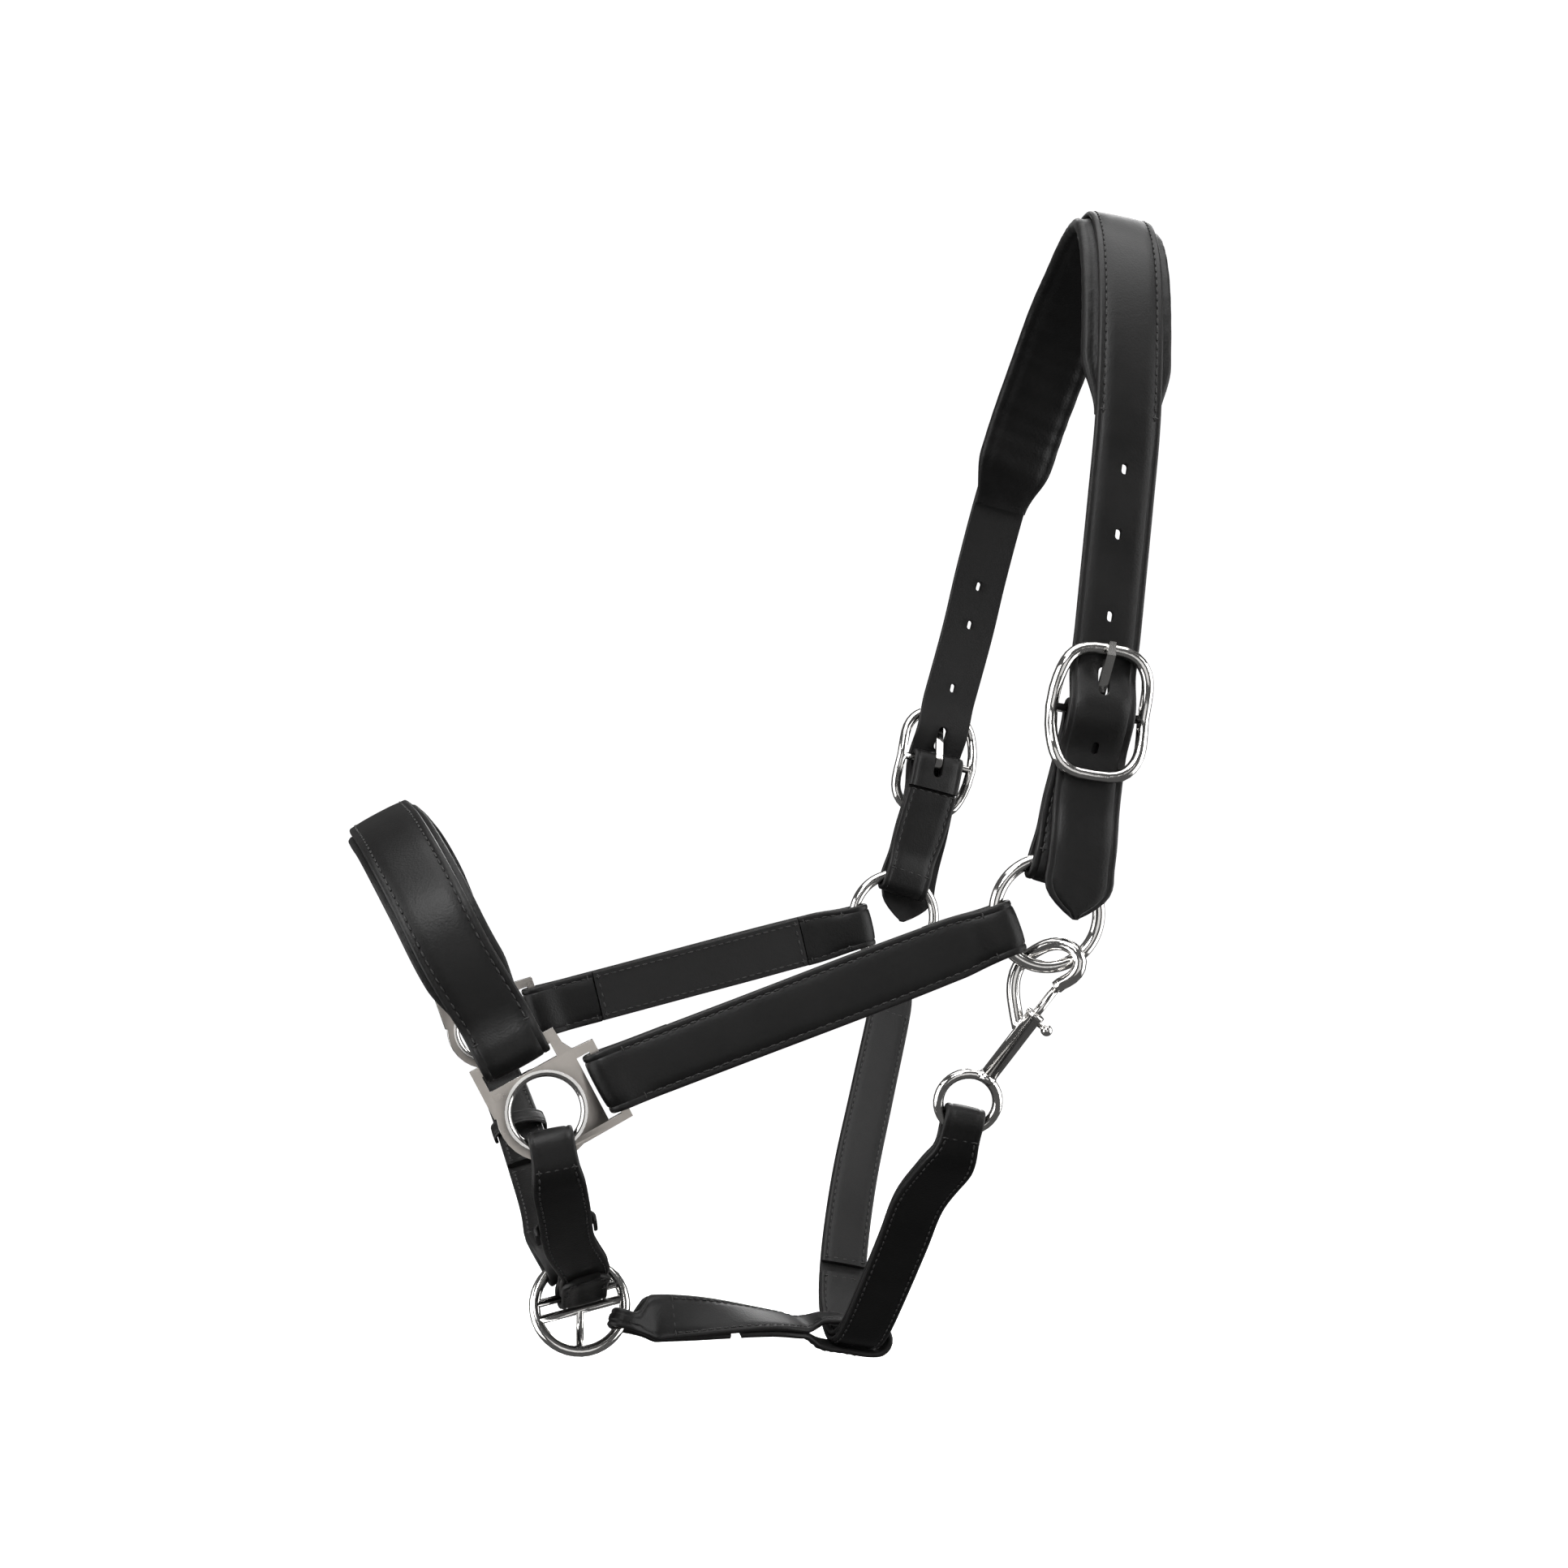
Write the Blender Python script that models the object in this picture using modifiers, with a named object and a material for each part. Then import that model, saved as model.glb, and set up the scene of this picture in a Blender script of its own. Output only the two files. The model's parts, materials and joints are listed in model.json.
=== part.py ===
"""Leather headcollar: padded headpiece and noseband, rolled straps, round rings,
cast squares, two roller-less buckles and a bolt snap at the throat.

Frame: metres, +Z up, +X towards the poll, -X towards the nose, -Y the near side.
The origin is the underside of the crown pad, where the headcollar rests on the poll.
"""
import math

import bpy
import bmesh
from mathutils import Matrix, Vector

# ---- driving dimensions, metres ------------------------------------------------
LEATHER = 0.0022            # thickness of one layer of strap leather
GAP = 0.0003                # space between two touching pieces
EASE = 0.00035              # space between a loop and the metal it runs on

HEAD_WIDTH = 0.0246          # headpiece, chapes and noseband
CHEEK_WIDTH = 0.022
THROAT_WIDTH = 0.019
CHIN_WIDTH = 0.0185
BACK_WIDTH = 0.0175
CROWN_PAD_WIDTH = 0.034
CROWN_PAD_DEPTH = 0.0075
NOSE_PAD_WIDTH = 0.0285
NOSE_PAD_DEPTH = 0.0050

RING_RADIUS = 0.0190        # to the middle of the wire
RING_WIRE = 0.00225         # radius of the wire
RING_DROP = 0.2485          # rings below the origin
RING_BACK = -0.055          # rings towards the nose from the origin
HALF_WIDTH = 0.100          # rings from the middle plane
FAR_RING_DROP = 0.0054      # the far side hangs a little lower

CHEEK_LENGTH = 0.1645       # ring centre to the cheek bar of the square
NOSE_HALF_WIDTH = 0.092
CHAPE_LENGTH = 0.0732       # ring centre to the middle of the buckle
BUCKLE_STAND = 0.0034       # buckle plane outside the ring plane

BUCKLE_HALF_LENGTH = 0.0227
BUCKLE_HALF_WIDTH = 0.0170
BUCKLE_WIRE = 0.00225
BUCKLE_BOW = 0.004          # how far the end bars stand outside the middle bar
BUCKLE_HUMP = 0.0165        # reach of the strap's hump over the middle bar, each way
MIDDLE_BAR = 0.0016
TONGUE_WIDTH = 0.0032
TONGUE_DEPTH = 0.0018

HOLE_PITCH = 0.025
HOLE_HALF_WIDTH = 0.0012
HOLE_HALF_LENGTH = 0.00205
BILLET = 0.0740             # buckle middle to the point of the strap

SQUARE_HALF_THICK = 0.0015
SQUARE_HOLE = 0.0130
SQUARE_RIM = 0.0012
BAR_REACH = 0.0235          # hole centre to the cheek bar

CHIN_RING_RADIUS = 0.0170
CHIN_RING_WIRE = 0.0021

MM = 0.001


# ---- scene ---------------------------------------------------------------------
for stale in list(bpy.data.objects):
    bpy.data.objects.remove(stale, do_unlink=True)

parts = bpy.data.collections.new("leather_headcollar")
cutters = bpy.data.collections.new("cutters")
bpy.context.scene.collection.children.link(parts)
bpy.context.scene.collection.children.link(cutters)


def make_material(name, colour, roughness, metallic):
    material = bpy.data.materials.new(name)
    material.use_nodes = True
    shader = material.node_tree.nodes["Principled BSDF"]
    shader.inputs["Base Color"].default_value = (*colour, 1.0)
    shader.inputs["Roughness"].default_value = roughness
    shader.inputs["Metallic"].default_value = metallic
    return material


def leather_material(name):
    return make_material(name + "_leather", (0.013, 0.012, 0.012), 0.42, 0.0)


def metal_material(name):
    return make_material(name + "_nickel", (0.78, 0.77, 0.76), 0.12, 1.0)


# ---- small geometry helpers ------------------------------------------------------
def smooth_line(points, spacing):
    """Even points along a Catmull-Rom curve through the given points."""
    padded = [points[0] * 2 - points[1]] + list(points) + [points[-1] * 2 - points[-2]]
    dense = []
    for i in range(1, len(padded) - 2):
        before, start, end, after = padded[i - 1:i + 3]
        for step in range(24):
            t = step / 24
            dense.append(0.5 * (2 * start + (end - before) * t
                                + (2 * before - 5 * start + 4 * end - after) * t ** 2
                                + (3 * start - before - 3 * end + after) * t ** 3))
    dense.append(points[-1].copy())
    travelled = [0.0]
    for one, two in zip(dense, dense[1:]):
        travelled.append(travelled[-1] + (two - one).length)
    count = max(2, round(travelled[-1] / spacing))
    result = []
    index = 0
    for step in range(count + 1):
        wanted = travelled[-1] * step / count
        while index < len(dense) - 2 and travelled[index + 1] < wanted:
            index += 1
        length = travelled[index + 1] - travelled[index]
        result.append(dense[index].lerp(dense[index + 1], (wanted - travelled[index]) / length))
    return result


def arc(centre, radius, start, end, steps):
    """Points (s, n) on a circle, angles in degrees."""
    points = []
    for step in range(steps + 1):
        angle = math.radians(start + (end - start) * step / steps)
        points.append((centre[0] + radius * math.cos(angle), centre[1] + radius * math.sin(angle)))
    return points


def mix(one, two, t):
    return one + (two - one) * t


def ease(t):
    """0 to 1 with level ends."""
    t = min(max(t, 0.0), 1.0)
    return t * t * (3 - 2 * t)


def new_object(name, mesh, material, collection=parts, matrix=Matrix.Identity(4)):
    thing = bpy.data.objects.new(name, mesh)
    thing.matrix_world = matrix
    collection.objects.link(thing)
    if material:
        mesh.materials.append(material)
    return thing


def set_origin(thing, place):
    """Move the object's origin to a point, unturned, without moving its surface."""
    thing.data.transform(Matrix.Translation(-place) @ thing.matrix_world)
    thing.matrix_world = Matrix.Translation(place)


def ribbon(name, stations, thickness, material, origin):
    """A strip of leather: an open sheet through (point, across, width) stations,
    given its thickness by Solidify."""
    sheet = bmesh.new()
    rows = []
    for point, across, width in stations:
        side = across.normalized() * width / 2
        rows.append([sheet.verts.new(point - side - origin), sheet.verts.new(point + side - origin)])
    for one, two in zip(rows, rows[1:]):
        sheet.faces.new((one[0], one[1], two[1], two[0]))
    mesh = bpy.data.meshes.new(name)
    sheet.to_mesh(mesh)
    sheet.free()
    strap = new_object(name, mesh, material, matrix=Matrix.Translation(origin))
    solid = strap.modifiers.new("thickness", "SOLIDIFY")
    solid.thickness = thickness
    solid.offset = 0
    solid.use_even_offset = True
    return strap


def padded_band(name, stations, material, origin):
    """A stuffed lining: a loft of rounded sections given as
    (point, across, out, half width, half thickness)."""
    band = bmesh.new()
    rows = []
    sides = 12
    for point, across, out, half_width, half_thick in stations:
        row = []
        for k in range(sides):
            angle = math.tau * (k + 0.5) / sides
            flat = math.copysign(abs(math.cos(angle)) ** 0.5, math.cos(angle))
            tall = math.copysign(abs(math.sin(angle)) ** 0.7, math.sin(angle))
            row.append(band.verts.new(point + across * half_width * flat
                                      + out * half_thick * tall - origin))
        rows.append(row)
    for one, two in zip(rows, rows[1:]):
        for k in range(sides):
            j = (k + 1) % sides
            band.faces.new((one[k], one[j], two[j], two[k]))
    band.faces.new(rows[0])
    band.faces.new(list(reversed(rows[-1])))
    bmesh.ops.recalc_face_normals(band, faces=band.faces)
    mesh = bpy.data.meshes.new(name)
    band.to_mesh(mesh)
    band.free()
    mesh.shade_smooth()
    mesh.set_sharp_from_angle(angle=math.radians(50))
    return new_object(name, mesh, material, matrix=Matrix.Translation(origin))


def wire(name, points, radius, closed, material, collection=parts, resolution=2):
    """Round wire along world points, as a closed mesh."""
    curve = bpy.data.curves.new(name, "CURVE")
    curve.dimensions = "3D"
    curve.bevel_depth = radius
    curve.bevel_resolution = resolution
    curve.use_fill_caps = True
    spline = curve.splines.new("POLY")
    spline.points.add(len(points) - 1)
    for node, point in zip(spline.points, points):
        node.co = (*point, 1.0)
    spline.use_cyclic_u = closed
    holder = bpy.data.objects.new(name + "_line", curve)
    collection.objects.link(holder)
    return curve_to_mesh(name, holder, material, collection)


def curve_to_mesh(name, holder, material, collection=parts):
    bpy.context.view_layer.update()
    graph = bpy.context.evaluated_depsgraph_get()
    mesh = bpy.data.meshes.new_from_object(holder.evaluated_get(graph))
    weld = bmesh.new()
    weld.from_mesh(mesh)
    bmesh.ops.remove_doubles(weld, verts=weld.verts, dist=0.00001)
    bmesh.ops.recalc_face_normals(weld, faces=weld.faces)
    weld.to_mesh(mesh)
    weld.free()
    mesh.materials.clear()
    mesh.shade_smooth()
    mesh.set_sharp_from_angle(angle=math.radians(40))
    solid = new_object(name, mesh, material, collection, holder.matrix_world.copy())
    bpy.data.objects.remove(holder, do_unlink=True)
    return solid


def primitive(name, material, collection=parts, matrix=Matrix.Identity(4)):
    """Take the primitive just added, name it and put it in its place."""
    thing = bpy.context.object
    for home in list(thing.users_collection):
        home.objects.unlink(thing)
    collection.objects.link(thing)
    thing.name = name
    thing.data.name = name
    thing.matrix_world = matrix
    if material:
        thing.data.materials.append(material)
    thing.data.shade_smooth()
    thing.data.set_sharp_from_angle(angle=math.radians(40))
    return thing


def facing(direction, place, hint=Vector((1, 0, 0))):
    """Matrix whose Z axis points along the direction, at the place, X near the hint."""
    z = direction.normalized()
    y = z.cross(hint).normalized()
    x = y.cross(z)
    return Matrix.Translation(place) @ Matrix((x, y, z)).transposed().to_4x4()


def cylinder(name, place, direction, radius, length, material=None, collection=parts, sides=16):
    bpy.ops.mesh.primitive_cylinder_add(vertices=sides, radius=radius, depth=length)
    return primitive(name, material, collection, facing(direction, place))


def torus(name, place, axis, radius, thick, material=None, collection=parts, major=36, minor=10):
    bpy.ops.mesh.primitive_torus_add(major_radius=radius, minor_radius=thick,
                                     major_segments=major, minor_segments=minor)
    return primitive(name, material, collection, facing(axis, place))


def combine(target, tool, operation):
    """Boolean with a second solid, which becomes a hidden tool."""
    for home in list(tool.users_collection):
        home.objects.unlink(tool)
    cutters.objects.link(tool)
    tool.hide_render = True
    tool.display_type = "WIRE"
    change = target.modifiers.new(tool.name, "BOOLEAN")
    change.operation = operation
    change.solver = "EXACT"
    change.object = tool


def slot_cutter(name, place, direction, across, half_width, half_length, depth):
    """Oval punch: a stadium outline pushed through along the direction."""
    outline = bmesh.new()
    ring = []
    for s, n in arc((half_length - half_width, 0), half_width, -90, 90, 6):
        ring.append(outline.verts.new((s, n, -depth / 2)))
    for s, n in arc((half_width - half_length, 0), half_width, 90, 270, 6):
        ring.append(outline.verts.new((s, n, -depth / 2)))
    face = outline.faces.new(ring)
    grown = bmesh.ops.extrude_face_region(outline, geom=[face])
    top = [item for item in grown["geom"] if isinstance(item, bmesh.types.BMVert)]
    bmesh.ops.translate(outline, verts=top, vec=(0, 0, depth))
    bmesh.ops.recalc_face_normals(outline, faces=outline.faces)
    mesh = bpy.data.meshes.new(name)
    outline.to_mesh(mesh)
    outline.free()
    return new_object(name, mesh, None, cutters, facing(direction, place, across))


# ---- the two sides ---------------------------------------------------------------
class Side:
    """The flat plane of one side of the head, through its cheek ring."""

    def __init__(self, name, sign, ring, cheek_pitch, chape_angle, strap_angle, square_angle):
        self.name = name
        self.sign = sign
        self.ring = ring
        self.chape_angle = chape_angle
        self.strap_angle = strap_angle
        self.square_angle = square_angle
        self.cheek_angle = 180 + cheek_pitch
        toe = math.asin((HALF_WIDTH - NOSE_HALF_WIDTH) / CHEEK_LENGTH)
        pitch = math.radians(cheek_pitch)
        cheek = Vector((-math.cos(pitch) * math.cos(toe), -sign * math.sin(toe),
                        -math.sin(pitch) * math.cos(toe)))
        chape = Vector((math.cos(math.radians(chape_angle)), 0, math.sin(math.radians(chape_angle))))
        out = cheek.cross(chape).normalized()
        self.out = out if out.y * sign > 0 else -out
        self.right = (Vector((1, 0, 0)) - self.out * self.out.x).normalized()
        up = self.out.cross(self.right)
        self.up = up if up.z > 0 else -up

    def heading(self, angle):
        angle = math.radians(angle)
        return self.right * math.cos(angle) + self.up * math.sin(angle)

    def at(self, angle, distance, n=0.0, start=None):
        start = self.ring if start is None else start
        return start + self.heading(angle) * distance + self.out * n


def from_rings(x, y, z):
    """A point given in millimetres from the middle of the line between the rings."""
    return Vector((RING_BACK + x * MM, y * MM, -RING_DROP + z * MM))


NEAR = Side("near", -1, from_rings(0, -100, 0), 20.0, 75.5, 82.0, 28.0)
FAR = Side("far", 1, from_rings(-1, 100, 0) - Vector((0, 0, FAR_RING_DROP)), 13.8, 73.0, 78.0, 20.0)
SIDES = (NEAR, FAR)


def strip_stations(side, start, angle, path, width, skew, shift=lambda s: 0.0):
    """Stations for a strap that stays in the side's plane: path holds (s, n) pairs along
    the angle from the start point; width, skew and sideways shift are functions of s."""
    stations = []
    for s, n in path:
        across = side.heading(angle + 90 + skew(s))
        middle = side.at(angle, s, n, start) + side.heading(angle + 90) * shift(s)
        stations.append((middle, across, width(s)))
    return stations


LAYER = (LEATHER + GAP) / 2                 # middle of a layer from the middle of a pair
RING_POCKET = RING_WIRE + EASE + LEATHER / 2
BAR_POCKET = 0.0036
CONVERGE = 0.012                            # length over which a loop closes on itself


# ---- cheek rings -----------------------------------------------------------------
def make_cheek_rings():
    for side in SIDES:
        name = side.name + "_cheek_ring"
        torus(name, side.ring, side.out, RING_RADIUS, RING_WIRE, metal_material(name), major=40)


def loop_edge(half_width, radius=RING_RADIUS, wire_radius=RING_WIRE):
    """Where a loop of this half width turns round a ring's wire, from the ring's centre:
    its corners have to clear the wire's inner face."""
    inner = radius - wire_radius - EASE
    return math.sqrt(inner ** 2 - half_width ** 2) + wire_radius + EASE


# ---- chapes ----------------------------------------------------------------------
CHAPE_RING_WIDTH = 0.0215


def buckle_centre(side):
    return side.at(side.chape_angle, CHAPE_LENGTH, BUCKLE_STAND)


def hump(s):
    """1 over the buckle's middle bar, 0 from BUCKLE_HUMP outwards."""
    return math.cos(math.pi * min(abs(s) / BUCKLE_HUMP, 1.0) / 2) ** 2


def strap_rise(s):
    """Height of the headpiece above the buckle plane, s downwards from the buckle's middle."""
    return 0.00042 + 0.0052 * hump(s) + 0.0028 * ease((s - 0.030) / 0.020)


def chape_path():
    """Closed on both ends: round the buckle bar and round the ring, s down from the buckle."""
    bar = MIDDLE_BAR + EASE + LEATHER / 2
    edge = CHAPE_LENGTH - loop_edge(CHAPE_RING_WIDTH / 2)
    crest = CHAPE_LENGTH - RING_RADIUS
    middle = -BUCKLE_STAND

    def outer(s):
        flat = middle + LAYER
        if s < BUCKLE_HALF_LENGTH:
            return mix(flat, bar, hump(s))
        return mix(flat, middle + RING_POCKET, ease((s - crest + CONVERGE) / CONVERGE))

    def inner(s):
        flat = middle - LAYER
        if s < BUCKLE_HALF_LENGTH:
            return mix(flat, -bar, hump(s))
        return mix(flat, middle - RING_POCKET, ease((s - crest + CONVERGE) / CONVERGE))

    steps = 28
    down = [edge * k / steps for k in range(1, steps)]
    path = [(0.013, inner(0.013)), (0.010, inner(0.010)), (0.005, inner(0.005))]
    path += arc((0, 0), bar, 270, 90, 8)
    path += [(s, outer(s)) for s in down]
    path += arc((edge, middle), RING_POCKET, 90, -90, 8)
    path += [(s, inner(s)) for s in reversed(down) if s > 0.0135]
    return path


def make_chapes():
    for side in SIDES:
        name = side.name + "_chape"
        centre = buckle_centre(side)
        lean = side.strap_angle - side.chape_angle

        def width(s):
            return mix(HEAD_WIDTH - 0.001, CHAPE_RING_WIDTH, ease((s - 0.030) / 0.020))

        def skew(s):
            return lean * (1 - ease(s / 0.040))

        def shift(s):
            return math.tan(math.radians(lean)) * s * (1 - s / CHAPE_LENGTH) ** 3

        stations = strip_stations(side, centre, side.chape_angle + 180, chape_path(), width, skew,
                                  shift)
        chape = ribbon(name, stations, LEATHER, leather_material(name), centre)
        slot = slot_cutter(name + "_tongue_slot", side.at(side.strap_angle, 0.0005, 0, centre),
                           side.out, side.heading(side.strap_angle), TONGUE_WIDTH / 2 + 0.0005,
                           0.0075, 0.012)
        combine(chape, slot, "DIFFERENCE")


# ---- buckles -----------------------------------------------------------------------
def make_buckles():
    for side in SIDES:
        centre = buckle_centre(side)
        along = side.heading(side.strap_angle)
        across = side.heading(side.strap_angle - 90)
        loop = []
        turns = 40
        for k in range(turns):
            angle = math.tau * k / turns
            x = math.copysign(abs(math.cos(angle)) ** 0.62, math.cos(angle)) * BUCKLE_HALF_WIDTH
            y = math.copysign(abs(math.sin(angle)) ** 0.66, math.sin(angle)) * BUCKLE_HALF_LENGTH
            rise = BUCKLE_BOW * ease(abs(y) / BUCKLE_HUMP)
            loop.append(centre + across * x + along * y + side.out * rise)
        name = side.name + "_buckle_frame"
        metal = metal_material(name)
        frame = wire(name, loop, BUCKLE_WIRE, True, metal)
        bar = cylinder(name + "_bar", centre, across, MIDDLE_BAR, 2 * BUCKLE_HALF_WIDTH)
        combine(frame, bar, "UNION")
        set_origin(frame, centre)
        make_tongue(side, centre, along, across)


def make_tongue(side, centre, along, across):
    name = side.name + "_buckle_tongue"
    eye = MIDDLE_BAR + EASE + TONGUE_DEPTH / 2
    rest = BUCKLE_BOW + BUCKLE_WIRE + GAP + TONGUE_DEPTH / 2 + 0.0001
    path = arc((0, 0), eye, 130, 318, 9)
    leave = path[-1]
    over_bar = (BUCKLE_HALF_LENGTH - 0.0024, rest)
    for t in (0.2, 0.4, 0.6, 0.8, 1.0):
        path.append((mix(leave[0], over_bar[0], t), mix(leave[1], over_bar[1], t)))
    path.append((BUCKLE_HALF_LENGTH + 0.0022, rest))
    stations = []
    for k, (s, n) in enumerate(path):
        narrow = 0.75 if k == len(path) - 1 else 1.0
        stations.append((centre + along * s + side.out * n, across, TONGUE_WIDTH * narrow))
    ribbon(name, stations, TONGUE_DEPTH, metal_material(name), centre)


# ---- headpiece ---------------------------------------------------------------------
def crown_points():
    """Middle of the headpiece over the poll, from above the near buckle to above the far one."""
    return [from_rings(*place) for place in (
        (23.5, -103.6, 112), (27.5, -103, 146), (31.0, -102, 176), (33.5, -99, 203.5),
        (37.0, -91, 230.5), (41.0, -78, 250.5), (45.5, -60, 264.5), (49.5, -40, 269), (52.0, -20, 267.5),
        (53.5, 0, 261.5), (53.5, 22, 251), (52.0, 44, 233), (48.5, 64, 210), (43.5, 81, 180),
        (38.5, 93, 150), (34.0, 100, 124))]


def headpiece_line():
    """(point, across) from the near point of the strap to the far point."""
    ends = []
    for side in SIDES:
        centre = buckle_centre(side)
        down = [BILLET - 0.0115, 0.055, 0.048, 0.041, 0.035, 0.029]
        down += [BUCKLE_HALF_LENGTH * (1 - k / 12) for k in range(25)]
        down += [-0.029]
        ends.append([side.at(side.strap_angle, -s, strap_rise(s), centre) for s in down])
    near_end, far_end = ends
    crown = smooth_line([near_end[-1]] + crown_points() + [far_end[-1]], 0.006)
    points = near_end[:-1] + crown + list(reversed(far_end[:-1]))
    near_across = NEAR.heading(NEAR.strap_angle - 90)
    far_across = FAR.heading(FAR.strap_angle - 90)
    line = []
    for point in points:
        t = ease((point.y + 0.090) / 0.170)
        line.append((point, near_across.lerp(far_across, t).normalized()))
    return line


def make_headpiece():
    line = headpiece_line()
    stations = [(point, across, HEAD_WIDTH) for point, across in line]
    for end, step in ((0, 1), (-1, -1)):
        point, across, width = stations[end]
        onward = (point - stations[end + step][0]).normalized()
        tips = []
        for reach, share in ((0.003, 0.90), (0.006, 0.68), (0.009, 0.38), (0.0115, 0.06)):
            tips.append((point + onward * reach, across, width * share))
        if end == 0:
            stations = list(reversed(tips)) + stations
        else:
            stations = stations + tips
    strap = ribbon("headpiece_strap", stations, LEATHER, leather_material("headpiece_strap"),
                   Vector((0, 0, 0)))
    for side in SIDES:
        centre = buckle_centre(side)
        along = side.heading(side.strap_angle)
        for k in (-1, 1, 2, 3):
            middle = centre + along * (0.0122 + HOLE_PITCH * k)
            if k > 0:
                middle = nearest(line, middle)
            punch = slot_cutter(f"{side.name}_hole_{k + 1}", middle, side.out, along,
                                HOLE_HALF_WIDTH, HOLE_HALF_LENGTH, 0.020)
            combine(strap, punch, "DIFFERENCE")
        tongue_hole = slot_cutter(side.name + "_tongue_hole", centre + along * 0.0113, side.out,
                                  along, TONGUE_WIDTH / 2 + 0.00055, 0.0053, 0.020)
        combine(strap, tongue_hole, "DIFFERENCE")


def nearest(line, place):
    return min((point for point, across in line), key=lambda point: (point - place).length)


def make_crown_pad():
    """Soft lining under the crown, rolled at the edges, fullest at the poll."""
    line = [item for item in headpiece_line() if item[0].z > 0.174 - RING_DROP]
    last = len(line) - 1
    stations = []
    for k, (point, across) in enumerate(line):
        onward = (line[min(k + 1, last)][0] - line[max(k - 1, 0)][0]).normalized()
        out = onward.cross(across).normalized()
        out = out if out.dot(point - Vector((0, 0, -0.08))) > 0 else -out
        fade = ease(min(k, last - k) / 4)
        half_thick = mix(0.0011, CROWN_PAD_DEPTH / 2, fade)
        half_width = mix(HEAD_WIDTH / 2, CROWN_PAD_WIDTH / 2, fade)
        place = point - out * (LEATHER / 2 + GAP + half_thick + 0.0002)
        stations.append((place, across, out, half_width, half_thick))
    padded_band("headpiece_pad", stations, leather_material("headpiece_pad"), Vector((0, 0, 0)))


# ---- cheek straps --------------------------------------------------------------------
CHEEK_RING_WIDTH = 0.0190
TURNBACK = 0.013            # how far a folded end comes back past its loop


def make_cheeks():
    edge = loop_edge(CHEEK_RING_WIDTH / 2)
    ring_side = RING_RADIUS + CONVERGE
    bar_side = CHEEK_LENGTH - CONVERGE

    def layer(s, sign):
        if s < 0.08:
            return sign * mix(RING_POCKET, LAYER, ease((s - RING_RADIUS) / CONVERGE))
        return sign * mix(LAYER, BAR_POCKET, ease((s - bar_side) / CONVERGE))

    count = 24
    across_face = [mix(edge, CHEEK_LENGTH, k / count) for k in range(1, count)]
    start_back = ring_side + TURNBACK
    end_back = bar_side - TURNBACK
    path = [(s, layer(s, -1)) for s in (start_back, start_back - 0.004, ring_side, 0.025,
                                        0.022, RING_RADIUS)]
    path += arc((edge, 0), RING_POCKET, 270, 90, 8)
    path += [(s, layer(s, 1)) for s in (RING_RADIUS, 0.022, 0.025)]
    path += [(s, layer(s, 1)) for s in across_face if s > 0.028]
    path += arc((CHEEK_LENGTH, 0), BAR_POCKET, 90, -90, 8)
    path += [(s, layer(s, -1)) for s in (CHEEK_LENGTH - 0.003, CHEEK_LENGTH - 0.006, bar_side + 0.003,
                                         bar_side, end_back)]

    for side in SIDES:
        name = side.name + "_cheek_strap"
        lean = side.square_angle + 180 - side.cheek_angle

        def width(s):
            return mix(CHEEK_RING_WIDTH, CHEEK_WIDTH, ease((s - 0.018) / 0.020))

        def skew(s):
            return lean * ease((s - bar_side + 0.02) / 0.032)

        stations = strip_stations(side, side.ring, side.cheek_angle, path, width, skew)
        ribbon(name, stations, LEATHER, leather_material(name), side.ring)
        make_cheek_lining(side, start_back + 0.0006, end_back - 0.0006)


def make_cheek_lining(side, start, end):
    name = side.name + "_cheek_lining"
    depth = 0.0030
    stations = []
    count = 6
    for k in range(count + 1):
        s = mix(start, end, k / count)
        stations.append((side.at(side.cheek_angle, s, -LAYER + LEATHER / 2 - depth / 2),
                         side.heading(side.cheek_angle + 90), CHEEK_WIDTH - 0.0004))
    ribbon(name, stations, depth, leather_material(name), side.ring)


# ---- squares -------------------------------------------------------------------------
def square_place(side):
    """Centre of the square's round hole."""
    bar = side.at(side.cheek_angle, CHEEK_LENGTH)
    centre = side.at(side.square_angle, -BAR_REACH, 0, bar)
    return side.at(side.square_angle + 90, 0.0012, 0, centre)


SQUARE_OUTLINE = ((-0.0165, 0.0060), (-0.0165, 0.0240), (0.0150, 0.0240), (0.0155, 0.0180),
                  (0.0175, 0.0145), (0.0250, 0.0140), (0.0250, -0.0155), (0.0065, -0.0157))
NOSE_SLOT = ((-0.0135, 0.0148), (0.0118, 0.0148), (0.0118, 0.0206), (-0.0135, 0.0206))
CHEEK_SLOT = ((0.0172, -0.0128), (0.0220, -0.0128), (0.0220, 0.0108), (0.0172, 0.0108))
NOSE_BAR = 0.0222           # hole centre to the nose bar


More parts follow.
